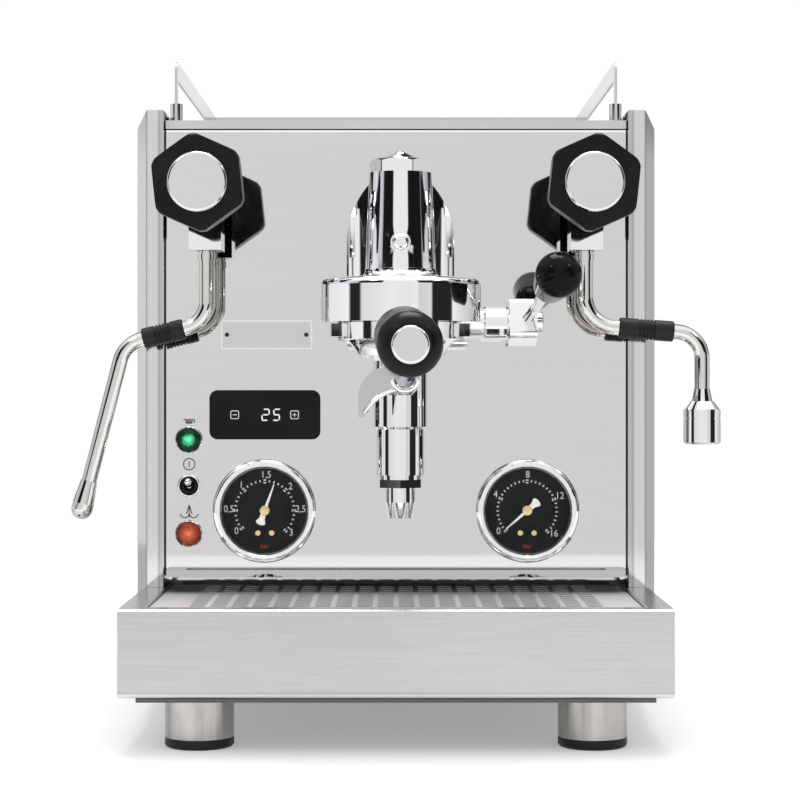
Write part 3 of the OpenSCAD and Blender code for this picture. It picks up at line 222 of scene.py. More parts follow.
def metal(name, tint, sheen, grain=(900, 900, 900), bite=0.02, patch=9.0, low=0.93, painted_lines=None):
    """A metal of that tint; sheen is its lowest and highest roughness, grain its scratch scale.

    Where given, the function for painted lines returns a mask and a colour of painted highlight or
    painted shade, placed by where it lies on the piece."""
    material, add, shader, place, link = finish(name)
    slow = add("ShaderNodeTexNoise", {"Vector": place, "Scale": patch, "Detail": 3.0})
    stretched = add("ShaderNodeMapping", {"Vector": place, "Scale": grain})
    fine = add("ShaderNodeTexNoise", {"Vector": stretched.outputs[0], "Scale": 1.0, "Detail": 4.0})
    both = add("ShaderNodeMix", {0: 0.45, 2: slow.outputs[0], 3: fine.outputs[0]})
    rough = add("ShaderNodeMapRange", {0: both.outputs[0], 1: 0.3, 2: 0.7, 3: sheen[0], 4: sheen[1]})
    shade = tuple(c * low for c in tint)
    colour = ramp(add, both.outputs[0], [(0.3, shade), (0.7, tint)])
    # The painted highlight and painted shade lines are mixed into the base colour here.
    if painted_lines:
        mask, other = painted_lines(add, place)
        colour = add("ShaderNodeMix", {0: mask, 6: colour, 7: other}, data_type="RGBA").outputs[2]
    link(colour, shader.inputs["Base Color"])
    link(rough.outputs[0], shader.inputs["Roughness"])
    bump = add("ShaderNodeBump", {"Height": fine.outputs[0], "Strength": bite, "Distance": 0.0004})
    link(bump.outputs[0], shader.inputs["Normal"])
    shader.inputs["Metallic"].default_value = 1.0
    return material


print("metal function ready")

# %% [markdown]
# Sheet metal is folded and hemmed at its edges, and there it rolls over and catches or loses the
# light in a thin line. Here that light and shade is painted: each of these functions finds such
# lines by their place on the piece, and gives them a painted highlight or painted shade colour.

# %% Painted highlights and shade at the folds and hems of the sheets
TRAY_LOW, TRAY_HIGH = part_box("drip_tray")
SIDE_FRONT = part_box("side_panel_left")[0][1]
FLANGE_IN, FLANGE_OUT = 0.130, 0.150
PANEL_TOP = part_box("front_panel")[1][2]
GRATE_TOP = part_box("drip_grate")[1][2]


def side_painted_shade_lines(add, place):
    """Painted shade: a thin darker line on the side panels' front, where they are folded and their edge
    rolls over.
    """
    x, y, z = add("ShaderNodeSeparateXYZ", {0: place}).outputs
    out = add("ShaderNodeMath", {0: x}, operation="ABSOLUTE").outputs[0]
    across = add("ShaderNodeMapRange", {0: out, 1: FLANGE_IN, 2: FLANGE_OUT}).outputs[0]
    line = ramp(add, across, [(0, 0.7), (0.28, 0.6), (0.32, 1), (0.335, 1), (0.37, 0), (0.64, 0),
        (0.67, 1), (0.71, 1), (0.74, 0), (1, 0)])
    front = add("ShaderNodeMath", {0: y, 1: SIDE_FRONT + 0.0008}, operation="LESS_THAN").outputs[0]
    mask = add("ShaderNodeMath", {0: line, 1: front}, operation="MULTIPLY").outputs[0]
    return mask, (0.40, 0.40, 0.40, 1)


def top_painted_highlight(add, place):
    """Painted highlight: a thin white band along the front panel's rolled upper edge."""
    z = add("ShaderNodeSeparateXYZ", {0: place}).outputs[2]
    edge = add("ShaderNodeMapRange", {0: z, 1: PANEL_TOP - 0.0013, 2: PANEL_TOP - 0.0009}).outputs[0]
    return edge, (1, 1, 1, 1)


def tray_painted_highlights(add, place):
    """Painted highlights: bright lines along the hems of the tray's front, above and below."""
    x, y, z = add("ShaderNodeSeparateXYZ", {0: place}).outputs
    low, high = TRAY_LOW[2], TRAY_HIGH[2]
    up = add("ShaderNodeMapRange", {0: z, 1: low, 2: high}).outputs[0]
    deep = 0.001 / (high - low)
    line = ramp(add, up, [(0, 1), (2.2 * deep, 1), (2.7 * deep, 0), (1 - 1.3 * deep, 0),
        (1 - 0.9 * deep, 1), (1, 1)])
    front = add("ShaderNodeMath", {0: y, 1: TRAY_LOW[1] + 0.004}, operation="LESS_THAN").outputs[0]
    mask = add("ShaderNodeMath", {0: line, 1: front}, operation="MULTIPLY").outputs[0]
    return mask, (0.95, 0.95, 0.95, 1)


def slot_painted_shade(add, place):
    """Painted shade: below a thin lip at its top, a slot's wall is painted dark for the shadow inside
    the slot.
    """
    z = add("ShaderNodeSeparateXYZ", {0: place}).outputs[2]
    below = add("ShaderNodeMapRange", {0: z, 1: GRATE_TOP - 0.00040, 2: GRATE_TOP - 0.00044}).outputs[0]
    return below, (0.06, 0.06, 0.06, 1)


print("tray", TRAY_LOW, TRAY_HIGH, "panel top", PANEL_TOP, "grate top", GRATE_TOP)

# %% [markdown]
# Each metal of the machine is one call: its tint, the range of its roughness, the scale of its
# scratches along each axis, and how deep they bite. Chrome is the whitest and sharpest, drawn
# barrels have upright grain with dark painted reflection streaks in their colour, and the brushed
# tray and covers are streaked from side to side.

# %% Metals of the machine
GRIND, BRUSH = (200, 200, 200), (30, 900, 900)
chrome = metal("chrome plate", (0.88, 0.885, 0.895), (0.015, 0.05), bite=0.004)
front_mirror = metal("mirror sheet", (0.69, 0.684, 0.675), (0.018, 0.036), (12, 300, 300), 0.002,
    patch=3.0, low=0.96, painted_lines=top_painted_highlight)
grate_sheet = metal("polished grate", (0.88, 0.875, 0.865), (0.50, 0.60), GRIND, 0.003, 5.0, 0.97)
slot_wall = metal("slot wall", (0.80, 0.80, 0.80), (0.35, 0.5), bite=0.02, painted_lines=slot_painted_shade)
spout_cast = metal("polished casting", (0.56, 0.565, 0.58), (0.05, 0.09), GRIND, 0.006, 30.0)
plate_sheet = metal("polished sheet", (0.64, 0.636, 0.628), (0.045, 0.09), (40, 700, 700), 0.006,
    patch=5.0, low=0.96)
cover_sheet = metal("brushed cover", (0.66, 0.656, 0.648), (0.26, 0.34), (40, 900, 900), 0.02, 5.0)
side_sheet = metal("polished side", (0.68, 0.676, 0.668), (0.045, 0.09), (700, 700, 40), 0.006,
    patch=5.0, low=0.96, painted_lines=side_painted_shade_lines)
steel_tube = metal("polished steel tube", (0.70, 0.685, 0.66), (0.03, 0.07), (300, 300, 300), 0.004)
polished_bar = metal("polished bar", (0.58, 0.58, 0.585), (0.06, 0.12), GRIND, 0.01)
satin_sheet = metal("satin sheet", (0.60, 0.60, 0.596), (0.16, 0.24), BRUSH, 0.02, 5.0)
# Dark upright streaks in the barrels' colour are painted reflection streaks, laid over the real upright
# drawing grain.
barrel_grain_and_painted_streaks = metal("drawn steel with painted streaks", (0.66, 0.635, 0.61), (0.07, 0.14), (160, 160, 5), 0.01, 26.0, 0.32)
soft_cap = metal("buffed cap", (0.69, 0.695, 0.71), (0.12, 0.17), GRIND, 0.0, 20.0, 0.97)
wire_mesh = metal("stamped steel", (0.72, 0.71, 0.70), (0.14, 0.26), (300, 300, 300), 0.03)
tray_sheet = metal("brushed tray", (0.535, 0.535, 0.535), (0.20, 0.28), BRUSH, 0.02,
    patch=4.5, low=0.80, painted_lines=tray_painted_highlights)
border_chrome = metal("plate border", (0.83, 0.83, 0.83), (0.10, 0.16), bite=0.0)
dark_screw = metal("dark screw", (0.05, 0.05, 0.05), (0.15, 0.25), bite=0.01)
copper = metal("plain copper", (0.80, 0.42, 0.27), (0.22, 0.42), (500, 60, 500), 0.04, 14.0)
brass = metal("brass", (0.80, 0.60, 0.30), (0.16, 0.30), (900, 900, 900), 0.03)
cast_alloy = metal("cast alloy", (0.50, 0.50, 0.51), (0.38, 0.55), (420, 420, 420), 0.25, 30.0)
dark_plate = metal("blackened plate", (0.13, 0.13, 0.13), (0.35, 0.5), (60, 700, 700), 0.03)
print("metals made")

# %% [markdown]
# Moulded and painted pieces. Black mouldings aren't one black: they have a fine spark-eroded
# texture that breaks up the highlights, and a little haze where hands polish them. The same
# function makes rubber, with a coarser texture and less gloss, and printed paint.

# %% Mouldings and paints
def moulding(name, tint, sheen, pebble=2500, bite=0.08, lift=1.35, shine=0.5, bend=1.5):
    """A plastic, rubber or paint of that tint, with a pebbled surface."""
    material, add, shader, place, link = finish(name)
    slow = add("ShaderNodeTexNoise", {"Vector": place, "Scale": 35.0, "Detail": 4.0})
    fine = add("ShaderNodeTexVoronoi", {"Vector": place, "Scale": pebble})
    light = tuple(min(1.0, c * lift + 0.002) for c in tint)
    link(ramp(add, slow.outputs[0], [(0.35, tint), (0.7, light)]), shader.inputs["Base Color"])
    rough = add("ShaderNodeMapRange", {0: slow.outputs[0], 1: 0.3, 2: 0.7, 3: sheen[0], 4: sheen[1]})
    link(rough.outputs[0], shader.inputs["Roughness"])
    bump = add("ShaderNodeBump", {"Height": fine.outputs["Distance"], "Strength": bite,
        "Distance": 0.0002})
    link(bump.outputs[0], shader.inputs["Normal"])
    shader.inputs["Specular IOR Level"].default_value = shine
    shader.inputs["IOR"].default_value = bend
    return material


knob_black = moulding("satin black moulding", (0.006, 0.006, 0.007), (0.24, 0.36), shine=0.12)
egg_black = moulding("gloss black moulding", (0.004, 0.004, 0.005), (0.02, 0.05), bite=0.005, bend=1.18)
grip_rubber = moulding("black rubber", (0.008, 0.008, 0.008), (0.34, 0.50), 1600, 0.15, shine=0.25)
window_black = moulding("black window", (0.006, 0.006, 0.0065), (0.06, 0.11), bite=0.005, shine=0.12)
dial_black = moulding("dial black", (0.006, 0.0065, 0.008), (0.42, 0.55), 3500, 0.05, shine=0.2)
print_white = moulding("white print", (0.90, 0.89, 0.85), (0.45, 0.6), 4000, 0.04, lift=1.1)
needle_white = moulding("needle paint", (0.93, 0.93, 0.90), (0.45, 0.6), 4000, 0.04, lift=1.05)
# A faint glow on the needle paint is painted light: it lifts the white needles and tails, which are not
# lit.
needle_painted_glow = needle_white.node_tree.nodes["Principled BSDF"].inputs
needle_painted_glow["Emission Color"].default_value = (1, 1, 0.97, 1)
needle_painted_glow["Emission Strength"].default_value = 0.3
print_red = moulding("red print", (0.50, 0.035, 0.02), (0.45, 0.6), 4000, 0.04, lift=1.2)
print_key = moulding("key print", (0.75, 0.75, 0.75), (0.45, 0.6), 4000, 0.04, lift=1.1)
print_grey = moulding("grey print", (0.10, 0.10, 0.10), (0.5, 0.6), 4000, 0.04, lift=1.2)
tank_white = moulding("frosted tank", (0.62, 0.66, 0.68), (0.35, 0.5), 900, 0.05, lift=1.15)
body_black = moulding("moulded black", (0.02, 0.02, 0.021), (0.45, 0.6), 1200, 0.1)
print("mouldings made")

# %% [markdown]
# Gauge glass is thin and clear. It is a glass shader that lets most light pass, so the dial behind
# it stays readable, with just a faint smear of haze for life.

# %% Gauge glass
glass, add, shader, place, link = finish("gauge glass")
haze = add("ShaderNodeTexNoise", {"Vector": place, "Scale": 60.0, "Detail": 3.0})
smear = add("ShaderNodeMapRange", {0: haze.outputs[0], 1: 0.3, 2: 0.7, 3: 0.0, 4: 0.03}).outputs[0]
clear = ramp(add, haze.outputs[0], [(0.3, (0.96, 0.98, 0.98)), (0.7, (1.0, 1.0, 1.0))])
link(smear, shader.inputs["Roughness"])
link(clear, shader.inputs["Base Color"])
shader.inputs["Transmission Weight"].default_value = 1.0
shader.inputs["IOR"].default_value = 1.1
glass.use_screen_refraction = True
print("glass made")

# %% [markdown]
# Each node takes its finish. Grouped by what the real piece is made of, this is the part list of
# the whole machine.

# %% Finishes for the frame's nodes
finishes = {
    chrome: ["group_body", "group_top_nut", "infusion_chamber", "drain_nozzle", "lever_nut",
        "lever_hub", "lever_arm", "portafilter_body", "valve_bodies", "steam_ball", "water_ball",
        "water_nozzle", "gauge_cases", "switch_bezel", "toggle_bat", "rail_posts",
        "indicator_lamps"],
    steel_tube: ["steam_wand", "water_wand", "steam_tip"],
    soft_cap: ["handle_cap", "steam_cap", "water_cap"],
    front_mirror: ["front_panel"],
    plate_sheet: ["nameplate"],
    cover_sheet: ["top_cover", "tank_lid"],
    side_sheet: ["side_panel_left", "side_panel_right"],
    grate_sheet: ["drip_grate"],
    spout_cast: ["spout"],
    polished_bar: ["cup_rail"],
    tray_sheet: ["drip_tray"],
    satin_sheet: ["rear_panel"],
    barrel_grain_and_painted_streaks: ["feet_steel"],
    wire_mesh: ["frame_posts", "inner_shelves", "shower_screen", "filter_basket", "heating_element"],
    copper: ["boiler", "pipes"],
    cast_alloy: ["pump"],
    dark_plate: ["base_plate"],
    knob_black: ["steam_knob", "water_knob", "portafilter_handle"],
    egg_black: ["lever_knob"],
    window_black: ["display"],
    grip_rubber: ["feet_rubber", "steam_grip", "water_grip", "group_gasket"],
    body_black: ["control_box", "power_inlet"],
    dial_black: ["gauge_dials"],
    tank_white: ["water_tank"],
    glass: ["gauge_glasses"],
    needle_white: ["steam_needle", "pump_needle"],
}
for material, names in finishes.items():
    for name in names:
        nodes[name].data.materials.clear()
        nodes[name].data.materials.append(material)
print("dressed", sum(len(n) for n in finishes.values()), "of", len(nodes))

# %% [markdown]
# The slots of the grate are stamped. Their walls are a duller metal than the polished bars, painted
# dark below a thin lip for the shadow in each slot. Every face that doesn't look up takes this
# darker metal, so the slots read from afar.

# %% Slot walls of the grate
def corners(piece, face):
    """The corner points of a face."""
    return [piece.data.vertices[v].co for v in face.vertices]


def middle_of(node):
    """The middle of a node's box across and in height."""
    low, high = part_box(node)
    return (low[0] + high[0]) / 2, (low[2] + high[2]) / 2


grate = nodes["drip_grate"]
grate.data.materials.append(slot_wall)
for face in grate.data.polygons:
    face.material_index = int(face.normal.z < 0.5)
print("slot faces", sum(face.material_index for face in grate.data.polygons))

# %% [markdown]
# The switch's ring and its well are one turned piece. The well is painted black, so the faces
# within its radius take the black, which keeps the ring's own metal all round it.

# %% Black well of the switch
switch = nodes["switch_bezel"]
switch.data.materials.append(window_black)
switch_x, switch_z = middle_of("switch_bezel")
WELL_R, WELL_BACK = 0.00565, -0.0174
for face in switch.data.polygons:
    spots = corners(switch, face)
    near = max(math.hypot(p.x - switch_x, p.z - switch_z) for p in spots) < WELL_R
    face.material_index = int(near and max(p.y for p in spots) < WELL_BACK)
print("well faces", sum(face.material_index for face in switch.data.polygons))

# %% [markdown]
# The name plate is left bare. Its raised border is polished and its two screws are darker steel,
# so the faces take their metal by where they lie: the border by its height, the screws by place.

# %% Border and screws of the name plate
plate = nodes["nameplate"]
for extra in (border_chrome, dark_screw):
    plate.data.materials.append(extra)
plate_low, plate_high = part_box("nameplate")
plate_x, plate_z = middle_of("nameplate")
SCREW_INSET, SCREW_R, BORDER_DEPTH = 0.0035, 0.00135, 0.00025
screw_out = (plate_high[0] - plate_low[0]) / 2 - SCREW_INSET
counts = [0, 0, 0]
for face in plate.data.polygons:
    spots = corners(plate, face)
    side = math.copysign(screw_out, face.center.x - plate_x)
    if max(math.hypot(p.x - plate_x - side, p.z - plate_z) for p in spots) < SCREW_R:
        face.material_index = 2
    elif min(p.y for p in spots) < plate_low[1] + BORDER_DEPTH:
        face.material_index = 1
    counts[face.material_index] += 1
print("plate, border, screws", counts)

# %% [markdown]
# The small pieces that follow are all made in the same way. A piece is shaped at its place on the
# machine, its place is then written into its mesh, and what belongs together becomes one mesh
# with one finish that moves with one body of the machine.

# %% Helpers for small pieces
FACE_FRONT = (math.pi / 2, 0, 0)


def fresh():
    """Leaves edit mode and deselects everything."""
    if bpy.context.object and bpy.context.object.mode != "OBJECT":
        bpy.ops.object.mode_set(mode="OBJECT")
    bpy.ops.object.select_all(action="DESELECT")


def choose(*pieces):
    """Selects these pieces alone, with the first one active."""
    fresh()
    for piece in pieces:
        piece.select_set(True)
    bpy.context.view_layer.objects.active = pieces[0]


def settled(piece):
    """Turns a text, a curve or a placed mesh into a mesh at the origin, unturned and unscaled."""
    choose(piece)
    if piece.type != "MESH":
        bpy.ops.object.convert(target="MESH")
    bpy.ops.object.transform_apply(location=True, rotation=True, scale=True)
    return bpy.context.object


def thickened(piece, depth):
    """Gives a flat piece that depth along Y, so that it is closed, with its faces outwards."""
    choose(piece)
    bpy.ops.object.mode_set(mode="EDIT")
    bpy.ops.mesh.select_all(action="SELECT")
    bpy.ops.mesh.extrude_region_move(TRANSFORM_OT_translate={"value": (0, depth, 0)})
    bpy.ops.mesh.select_all(action="SELECT")
    bpy.ops.mesh.normals_make_consistent(inside=False)
    bpy.ops.object.mode_set(mode="OBJECT")
    return settled(piece)


def cut_out(outline, y, depth):
    """A thin plate with that outline, given as (x, z) points, from that Y to that depth."""
    fresh()
    bpy.ops.mesh.primitive_circle_add(vertices=len(outline), radius=1, fill_type="NGON")
    plate = bpy.context.object
    for vertex, (x, z) in zip(plate.data.vertices, outline):
        vertex.co = (x, y, z)
    return thickened(plate, depth)


def joined(name, pieces, material, body="root"):
    """Joins pieces into one mesh with that material, riding on that body."""
    choose(*pieces)
    if len(pieces) > 1:
        bpy.ops.object.join()
    whole = settled(bpy.context.object)
    whole.name = name
    whole.data.materials.clear()
    whole.data.materials.append(material)
    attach(whole, body)
    print(name, "faces", len(whole.data.polygons))


def on_circle(x, z, r, degrees):
    """A point on a circle, by its angle clockwise from the top."""
    return x + r * math.sin(math.radians(degrees)), z + r * math.cos(math.radians(degrees))


print("helpers for pieces ready")

# %% [markdown]
# Printed marks are thin films of paint. They are modelled as real letters and bars a tenth of a
# millimetre thick or less, which keeps their edges sharp at any distance. Everything is drawn
# facing the front, just proud of the face that it is printed on.

# %% Helpers for printed marks
FILM = 0.00006
CAPITAL = 0.70


def letters(words, x, y, z, size, squeeze=1.0):
    """Words centred at a point, facing the front; size is the height of a capital in metres."""
    fresh()
    bpy.ops.object.text_add(location=(x, y, z), rotation=FACE_FRONT)
    text = bpy.context.object
    text.data.body = words
    text.data.size = size / CAPITAL
    text.data.align_x = "CENTER"
    text.data.align_y = "CENTER"
    text.data.extrude = 0.00004
    text.data.resolution_u = 4
    text.scale.x = squeeze
    return settled(text)


def bar(x, y, z, wide, high, turn=0.0, thick=0.0001):
    """A flat painted bar turned clockwise by that angle as seen from the front."""
    fresh()
    bpy.ops.mesh.primitive_cube_add(size=1, location=(x, y, z), rotation=(0, turn, 0),
        scale=(wide, thick, high))
    return settled(bpy.context.object)


print("helpers for print ready")

# %% [markdown]
# A ring of short ticks with a heavier pair at each number makes a gauge scale. The dial's own
# place and its face come from the frame, and the two gauges share one function.

# %% Gauge scales
DIAL_R = 0.02465
dial_low, dial_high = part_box("gauge_dials")
dial_y = dial_low[1] - FILM
dial_z = middle_of("gauge_dials")[1]
gauge_x = (dial_high[0] - dial_low[0]) / 2 - DIAL_R
print("dial face", dial_y, "height", dial_z, "gauge at", gauge_x)


def scale_marks(name, x, heavy, fine, figures):
    """Heavy ticks in pairs, fine ones between them, and figures, all in white."""
    marks = []
    pair = (-0.00075, 0.00075)
    places = [(0.0168 + shift, angle, 0.0016, 0.00075) for angle in heavy for shift in pair]
    places += [(0.0171, angle, 0.00075, 0.0013) for angle in fine]
    for radius, angle, wide, high in places:
        px, pz = on_circle(x, dial_z, radius, angle)
        marks.append(bar(px, dial_y, pz, wide, high, math.radians(angle)))
    for words, radius, angle in figures:
        px, pz = on_circle(x, dial_z, radius, angle)
        marks.append(letters(words, px, dial_y, pz, 0.0040, squeeze=0.88))
    joined(name, marks, print_white)


scale_marks("steam_scale", -gauge_x, [-128, -90, -45, 0, 45, 90, 134],
    [-118, -109, -100] + [a + 9 * i for a in (-90, -45, 0, 45, 90) for i in (1, 2, 3, 4)],
    [("0", 0.0203, -126), ("0,5", 0.0208, -88), ("1", 0.0200, -43), ("1,5", 0.0206, 2),
     ("2", 0.0203, 47), ("2,5", 0.0208, 88), ("3", 0.0200, 130)])
scale_marks("pump_scale", gauge_x, [-133, -66, 0, 67.5, 136],
    [a + 8.4 * i for a in (-133, -66, 0, 67.5) for i in range(1, 8)],
    [("0", 0.0205, -126), ("4", 0.0205, -63), ("8", 0.0207, 1), ("12", 0.0207, 66),
     ("16", 0.0205, 131)])
units = [letters("bar", side * gauge_x, dial_y, dial_z - 0.0208, 0.0026) for side in (-1, 1)]
joined("gauge_units", units, print_red)

# %% [markdown]
# Each gauge has two small brass screws that hold the dial. A screw is a low cylinder with its rim
# bevelled and a slot cut into its face. The needles' hubs are made in the same way, with no slot.

# %% Brass screws
def screw(x, y, z, r, high, slot=0.35, turn=0.4):
    """A low round head with a bevelled rim and a slot, facing the front."""
    fresh()
    bpy.ops.mesh.primitive_cylinder_add(vertices=28, radius=r, depth=high,
        location=(x, y - high / 2, z), rotation=FACE_FRONT)
    head = bpy.context.object
    bevel = head.modifiers.new("rim", "BEVEL")
    bevel.width = min(r, high) * 0.35
    bevel.segments = 3
    bevel.limit_method = "ANGLE"
    bpy.ops.object.modifier_apply(modifier="rim")
    if slot:
        bpy.ops.mesh.primitive_cube_add(size=1, location=(x, y - high, z), rotation=(0, turn, 0),
            scale=(r * 2.2, high * 0.9, r * slot))
        blade = bpy.context.object
        choose(head)
        cut = head.modifiers.new("slot", "BOOLEAN")
        cut.object = blade
        cut.solver = "EXACT"
        bpy.ops.object.modifier_apply(modifier="slot")
        bpy.data.objects.remove(blade)
    choose(head)
    bpy.ops.object.shade_smooth_by_angle(angle=0.6)
    return settled(head)


SCREW_OUT, SCREW_DOWN = 0.004, 0.0131
heads = [screw(side * gauge_x + out, dial_low[1], dial_z - SCREW_DOWN, 0.00165, 0.0006, turn=out * 90)
    for side in (-1, 1) for out in (-SCREW_OUT, SCREW_OUT)]
joined("dial_screws", heads, brass)

# %% [markdown]
# A needle is stamped from thin sheet and painted white. Behind its hub it flares into a short wide
# tail that balances the tip. The tail is drawn about the hub, opposite to the needle's farthest
# point, and rides with the needle.

# %% Tails and hubs of the needles
TAIL = [(0.0028, -32), (0.0050, -18), (0.0078, -22), (0.0085, -14), (0.0087, 0), (0.0085, 14),
    (0.0078, 22), (0.0050, 18), (0.0028, 32)]
GAUGES = (("steam", -1), ("pump", 1))
needle_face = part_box("steam_needle")[0][1]
for gauge, side in GAUGES:
    needle = gauge + "_needle"
    hub = (side * gauge_x, dial_z)
    tip = max(nodes[needle].data.vertices, key=lambda v: math.dist((v.co.x, v.co.z), hub)).co
    away = math.degrees(math.atan2(tip.x - hub[0], tip.z - hub[1])) + 180
    outline = [on_circle(*hub, r, away + angle) for r, angle in TAIL]
    joined(gauge + "_tail", [cut_out(outline, needle_face - 0.00005, 0.0004)], needle_white, needle)
for gauge, side in GAUGES:
    round_head = screw(side * gauge_x, needle_face, dial_z, 0.00285, 0.0007, slot=0)
    joined(gauge + "_hub", [round_head], brass, gauge + "_needle")

# %% [markdown]
# The display is a gloss black window with lit figures behind it. Such a figure has up to seven
# bars with pointed ends, and leans a little. Each bar is a thin plate that glows.

# %% Lit figures
lit, add, shader, place, link = finish("lit figures")
glow = add("ShaderNodeTexNoise", {"Vector": place, "Scale": 900.0})
link(ramp(add, glow.outputs[0], [(0.3, 0.02), (0.7, 0.03)]), shader.inputs["Base Color"])
bright = ramp(add, glow.outputs[0], [(0.3, (0.85, 0.87, 0.90)), (0.7, (1, 1, 1))])
link(bright, shader.inputs["Emission Color"])
shader.inputs["Emission Strength"].default_value = 0.9
display_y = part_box("display")[0][1] - FILM
display_x, display_z = middle_of("display")


def segment(x, z, long, upright, thick=0.0008):
    """One bar of a seven-bar figure with pointed ends."""
    half, t = long / 2, thick / 2
    outline = [(-half, 0), (-half + t, t), (half - t, t), (half, 0), (half - t, -t), (-half + t, -t)]
    placed = [(x + b, z + a) if upright else (x + a, z + b) for a, b in outline]
    return cut_out(placed, display_y, -FILM)


SEGMENTS = {"top": (0, 1, False), "mid": (0, 0, False), "low": (0, -1, False),
    "ul": (-1, 0.5, True), "ur": (1, 0.5, True), "ll": (-1, -0.5, True), "lr": (1, -0.5, True)}
FIGURES = {"2": ("top", "ur", "mid", "ll", "low"), "5": ("top", "ul", "mid", "lr", "low")}


def figure(sign, x, z, wide=0.0036, high=0.0064):
    """A seven-bar figure, leaning a little to the right."""
    gap, lean = 0.0003, 0.0005
    parts = []
    for key in FIGURES[sign]:
        a, b, upright = SEGMENTS[key]
        long = (high / 2 if upright else wide) - gap
        parts.append(segment(x + a * wide / 2 + lean * b, z + b * high / 2, long, upright))
    return parts


lit_bars = figure("2", display_x + 0.0004, display_z) + figure("5", display_x + 0.0068, display_z)
joined("display_figures", lit_bars, lit)

# %% [markdown]
# Left and right of the figures stand two touch keys. Each is a thin rounded square with its sign,
# less or more. The square is a plane with bevelled corners, of which only a rim is kept.

# %% Touch keys
def key_frame(x, z, side=0.0050, line=0.00045):
    """The thin rounded square of a touch key."""
    fresh()
    bpy.ops.mesh.primitive_plane_add(size=side, location=(x, display_y, z), rotation=FACE_FRONT)
    rim = bpy.context.object
    bpy.ops.object.mode_set(mode="EDIT")
    bpy.ops.mesh.select_all(action="SELECT")
    bpy.ops.mesh.bevel(offset=0.0009, segments=4, affect="VERTICES")
    bpy.ops.mesh.select_all(action="SELECT")
    bpy.ops.mesh.inset(thickness=line)
    bpy.ops.mesh.delete(type="FACE")
    return thickened(settled(rim), -FILM)


LONG, THIN = 0.0022, 0.0005
less_x, more_x = display_x - 0.0175, display_x + 0.0172
keys = [key_frame(x, display_z) for x in (less_x, more_x)]
for x, wide, high in ((less_x, LONG, THIN), (more_x, LONG, THIN), (more_x, THIN, LONG)):
    keys.append(bar(x, display_y, display_z, wide, high))
joined("touch_keys", keys, print_key)

# %% [markdown]
# Left of the display stand two signal lamps. Each has a domed coloured lens with a bright spot
# where its light sits, and facets moulded behind the dome. The lens glows from its own middle,
# so its colour follows the distance from that point.

# %% Lamp lenses
lamp_low, lamp_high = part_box("indicator_lamps")
lamp_x = middle_of("indicator_lamps")[0]
lamp_r = (lamp_high[0] - lamp_low[0]) / 2
lamps = {"green": (lamp_high[2] - lamp_r, (0.0, 0.022, 0.008), (0.10, 0.95, 0.42), 1.1),
    "orange": (lamp_low[2] + lamp_r, (0.30, 0.05, 0.02), (0.85, 0.20, 0.08), 0.35)}


def lens_material(name, z, rim_tint, core_tint, power):
    """A coloured lens that glows from its middle; facets darken it in a ring of petals."""
    material, add, shader, place, link = finish(name)
    centred = add("ShaderNodeMapping", {"Vector": place, "Location": (-lamp_x, 0, -z)})
    flat = add("ShaderNodeSeparateXYZ", {0: centred.outputs[0]})
    square = add("ShaderNodeMath", {0: flat.outputs[0], 1: flat.outputs[0]}, operation="MULTIPLY")
    squares = add("ShaderNodeMath", {0: flat.outputs[2], 1: flat.outputs[2], 2: square.outputs[0]},
        operation="MULTIPLY_ADD")
    away = add("ShaderNodeMath", {0: squares.outputs[0]}, operation="SQRT").outputs[0]
    petals = add("ShaderNodeTexVoronoi", {"Vector": centred.outputs[0], "Scale": 520.0})
    rough_edge = add("ShaderNodeMath", {0: petals.outputs["Distance"], 1: 0.0016, 2: away},
        operation="MULTIPLY_ADD").outputs[0]
    spread = add("ShaderNodeMapRange", {0: rough_edge, 1: 0.0, 2: lamp_r}).outputs[0]
    between = tuple(0.5 * (a + b) for a, b in zip(core_tint, rim_tint))
    shaded = tuple(0.35 * c for c in rim_tint)
    tint = ramp(add, spread, [(0.0, core_tint), (0.28, between), (0.6, rim_tint), (1.0, shaded)])
    link(tint, shader.inputs["Base Color"])
    link(tint, shader.inputs["Emission Color"])
    shader.inputs["Emission Strength"].default_value = power
    shader.inputs["Roughness"].default_value = 0.12
    shader.inputs["Specular IOR Level"].default_value = 0.2
    shader.inputs["Coat Weight"].default_value = 0.12
    shader.inputs["Coat Roughness"].default_value = 0.03
    bump = add("ShaderNodeBump", {"Height": petals.outputs["Distance"], "Strength": 0.35,
        "Distance": 0.0006})
    link(bump.outputs[0], shader.inputs["Normal"])
    return material


LENS_GAP, DOME_FLATNESS = 0.0005, 0.42


def lens(name, z, rim_tint, core_tint, power):
    """A low dome: half a sphere squashed along Y, with a flat rim and a closed back."""
    fresh()
    bpy.ops.mesh.primitive_uv_sphere_add(segments=40, ring_count=20, radius=lamp_r - LENS_GAP)
    dome = bpy.context.object
    bpy.ops.object.mode_set(mode="EDIT")
    bpy.ops.mesh.select_all(action="SELECT")
    bpy.ops.mesh.bisect(plane_co=(0, 0.0001, 0), plane_no=(0, 1, 0), clear_outer=True, use_fill=True)
    bpy.ops.object.mode_set(mode="OBJECT")
    dome.scale = (1, DOME_FLATNESS, 1)
    dome.location = (lamp_x, lamp_low[1] + 0.0012, z)
    bpy.ops.object.shade_smooth_by_angle(angle=0.9)
    joined(name, [settled(dome)], lens_material(name + " glow", z, rim_tint, core_tint, power))


for name, (z, rim_tint, core_tint, power) in lamps.items():
    lens("lamp_lens_" + name, z, rim_tint, core_tint, power)

# %% [markdown]
# Three small signs stand over the lamps and the switch: a cup, the stroke in a ring that marks a
# switch, and steam over water. They are printed in grey. Each is a handful of strokes, and a
# stroke is a painted bar laid between two points.

# %% Signs beside the controls
WINDOW_PROUD = 0.0012
sign_y = display_y + WINDOW_PROUD


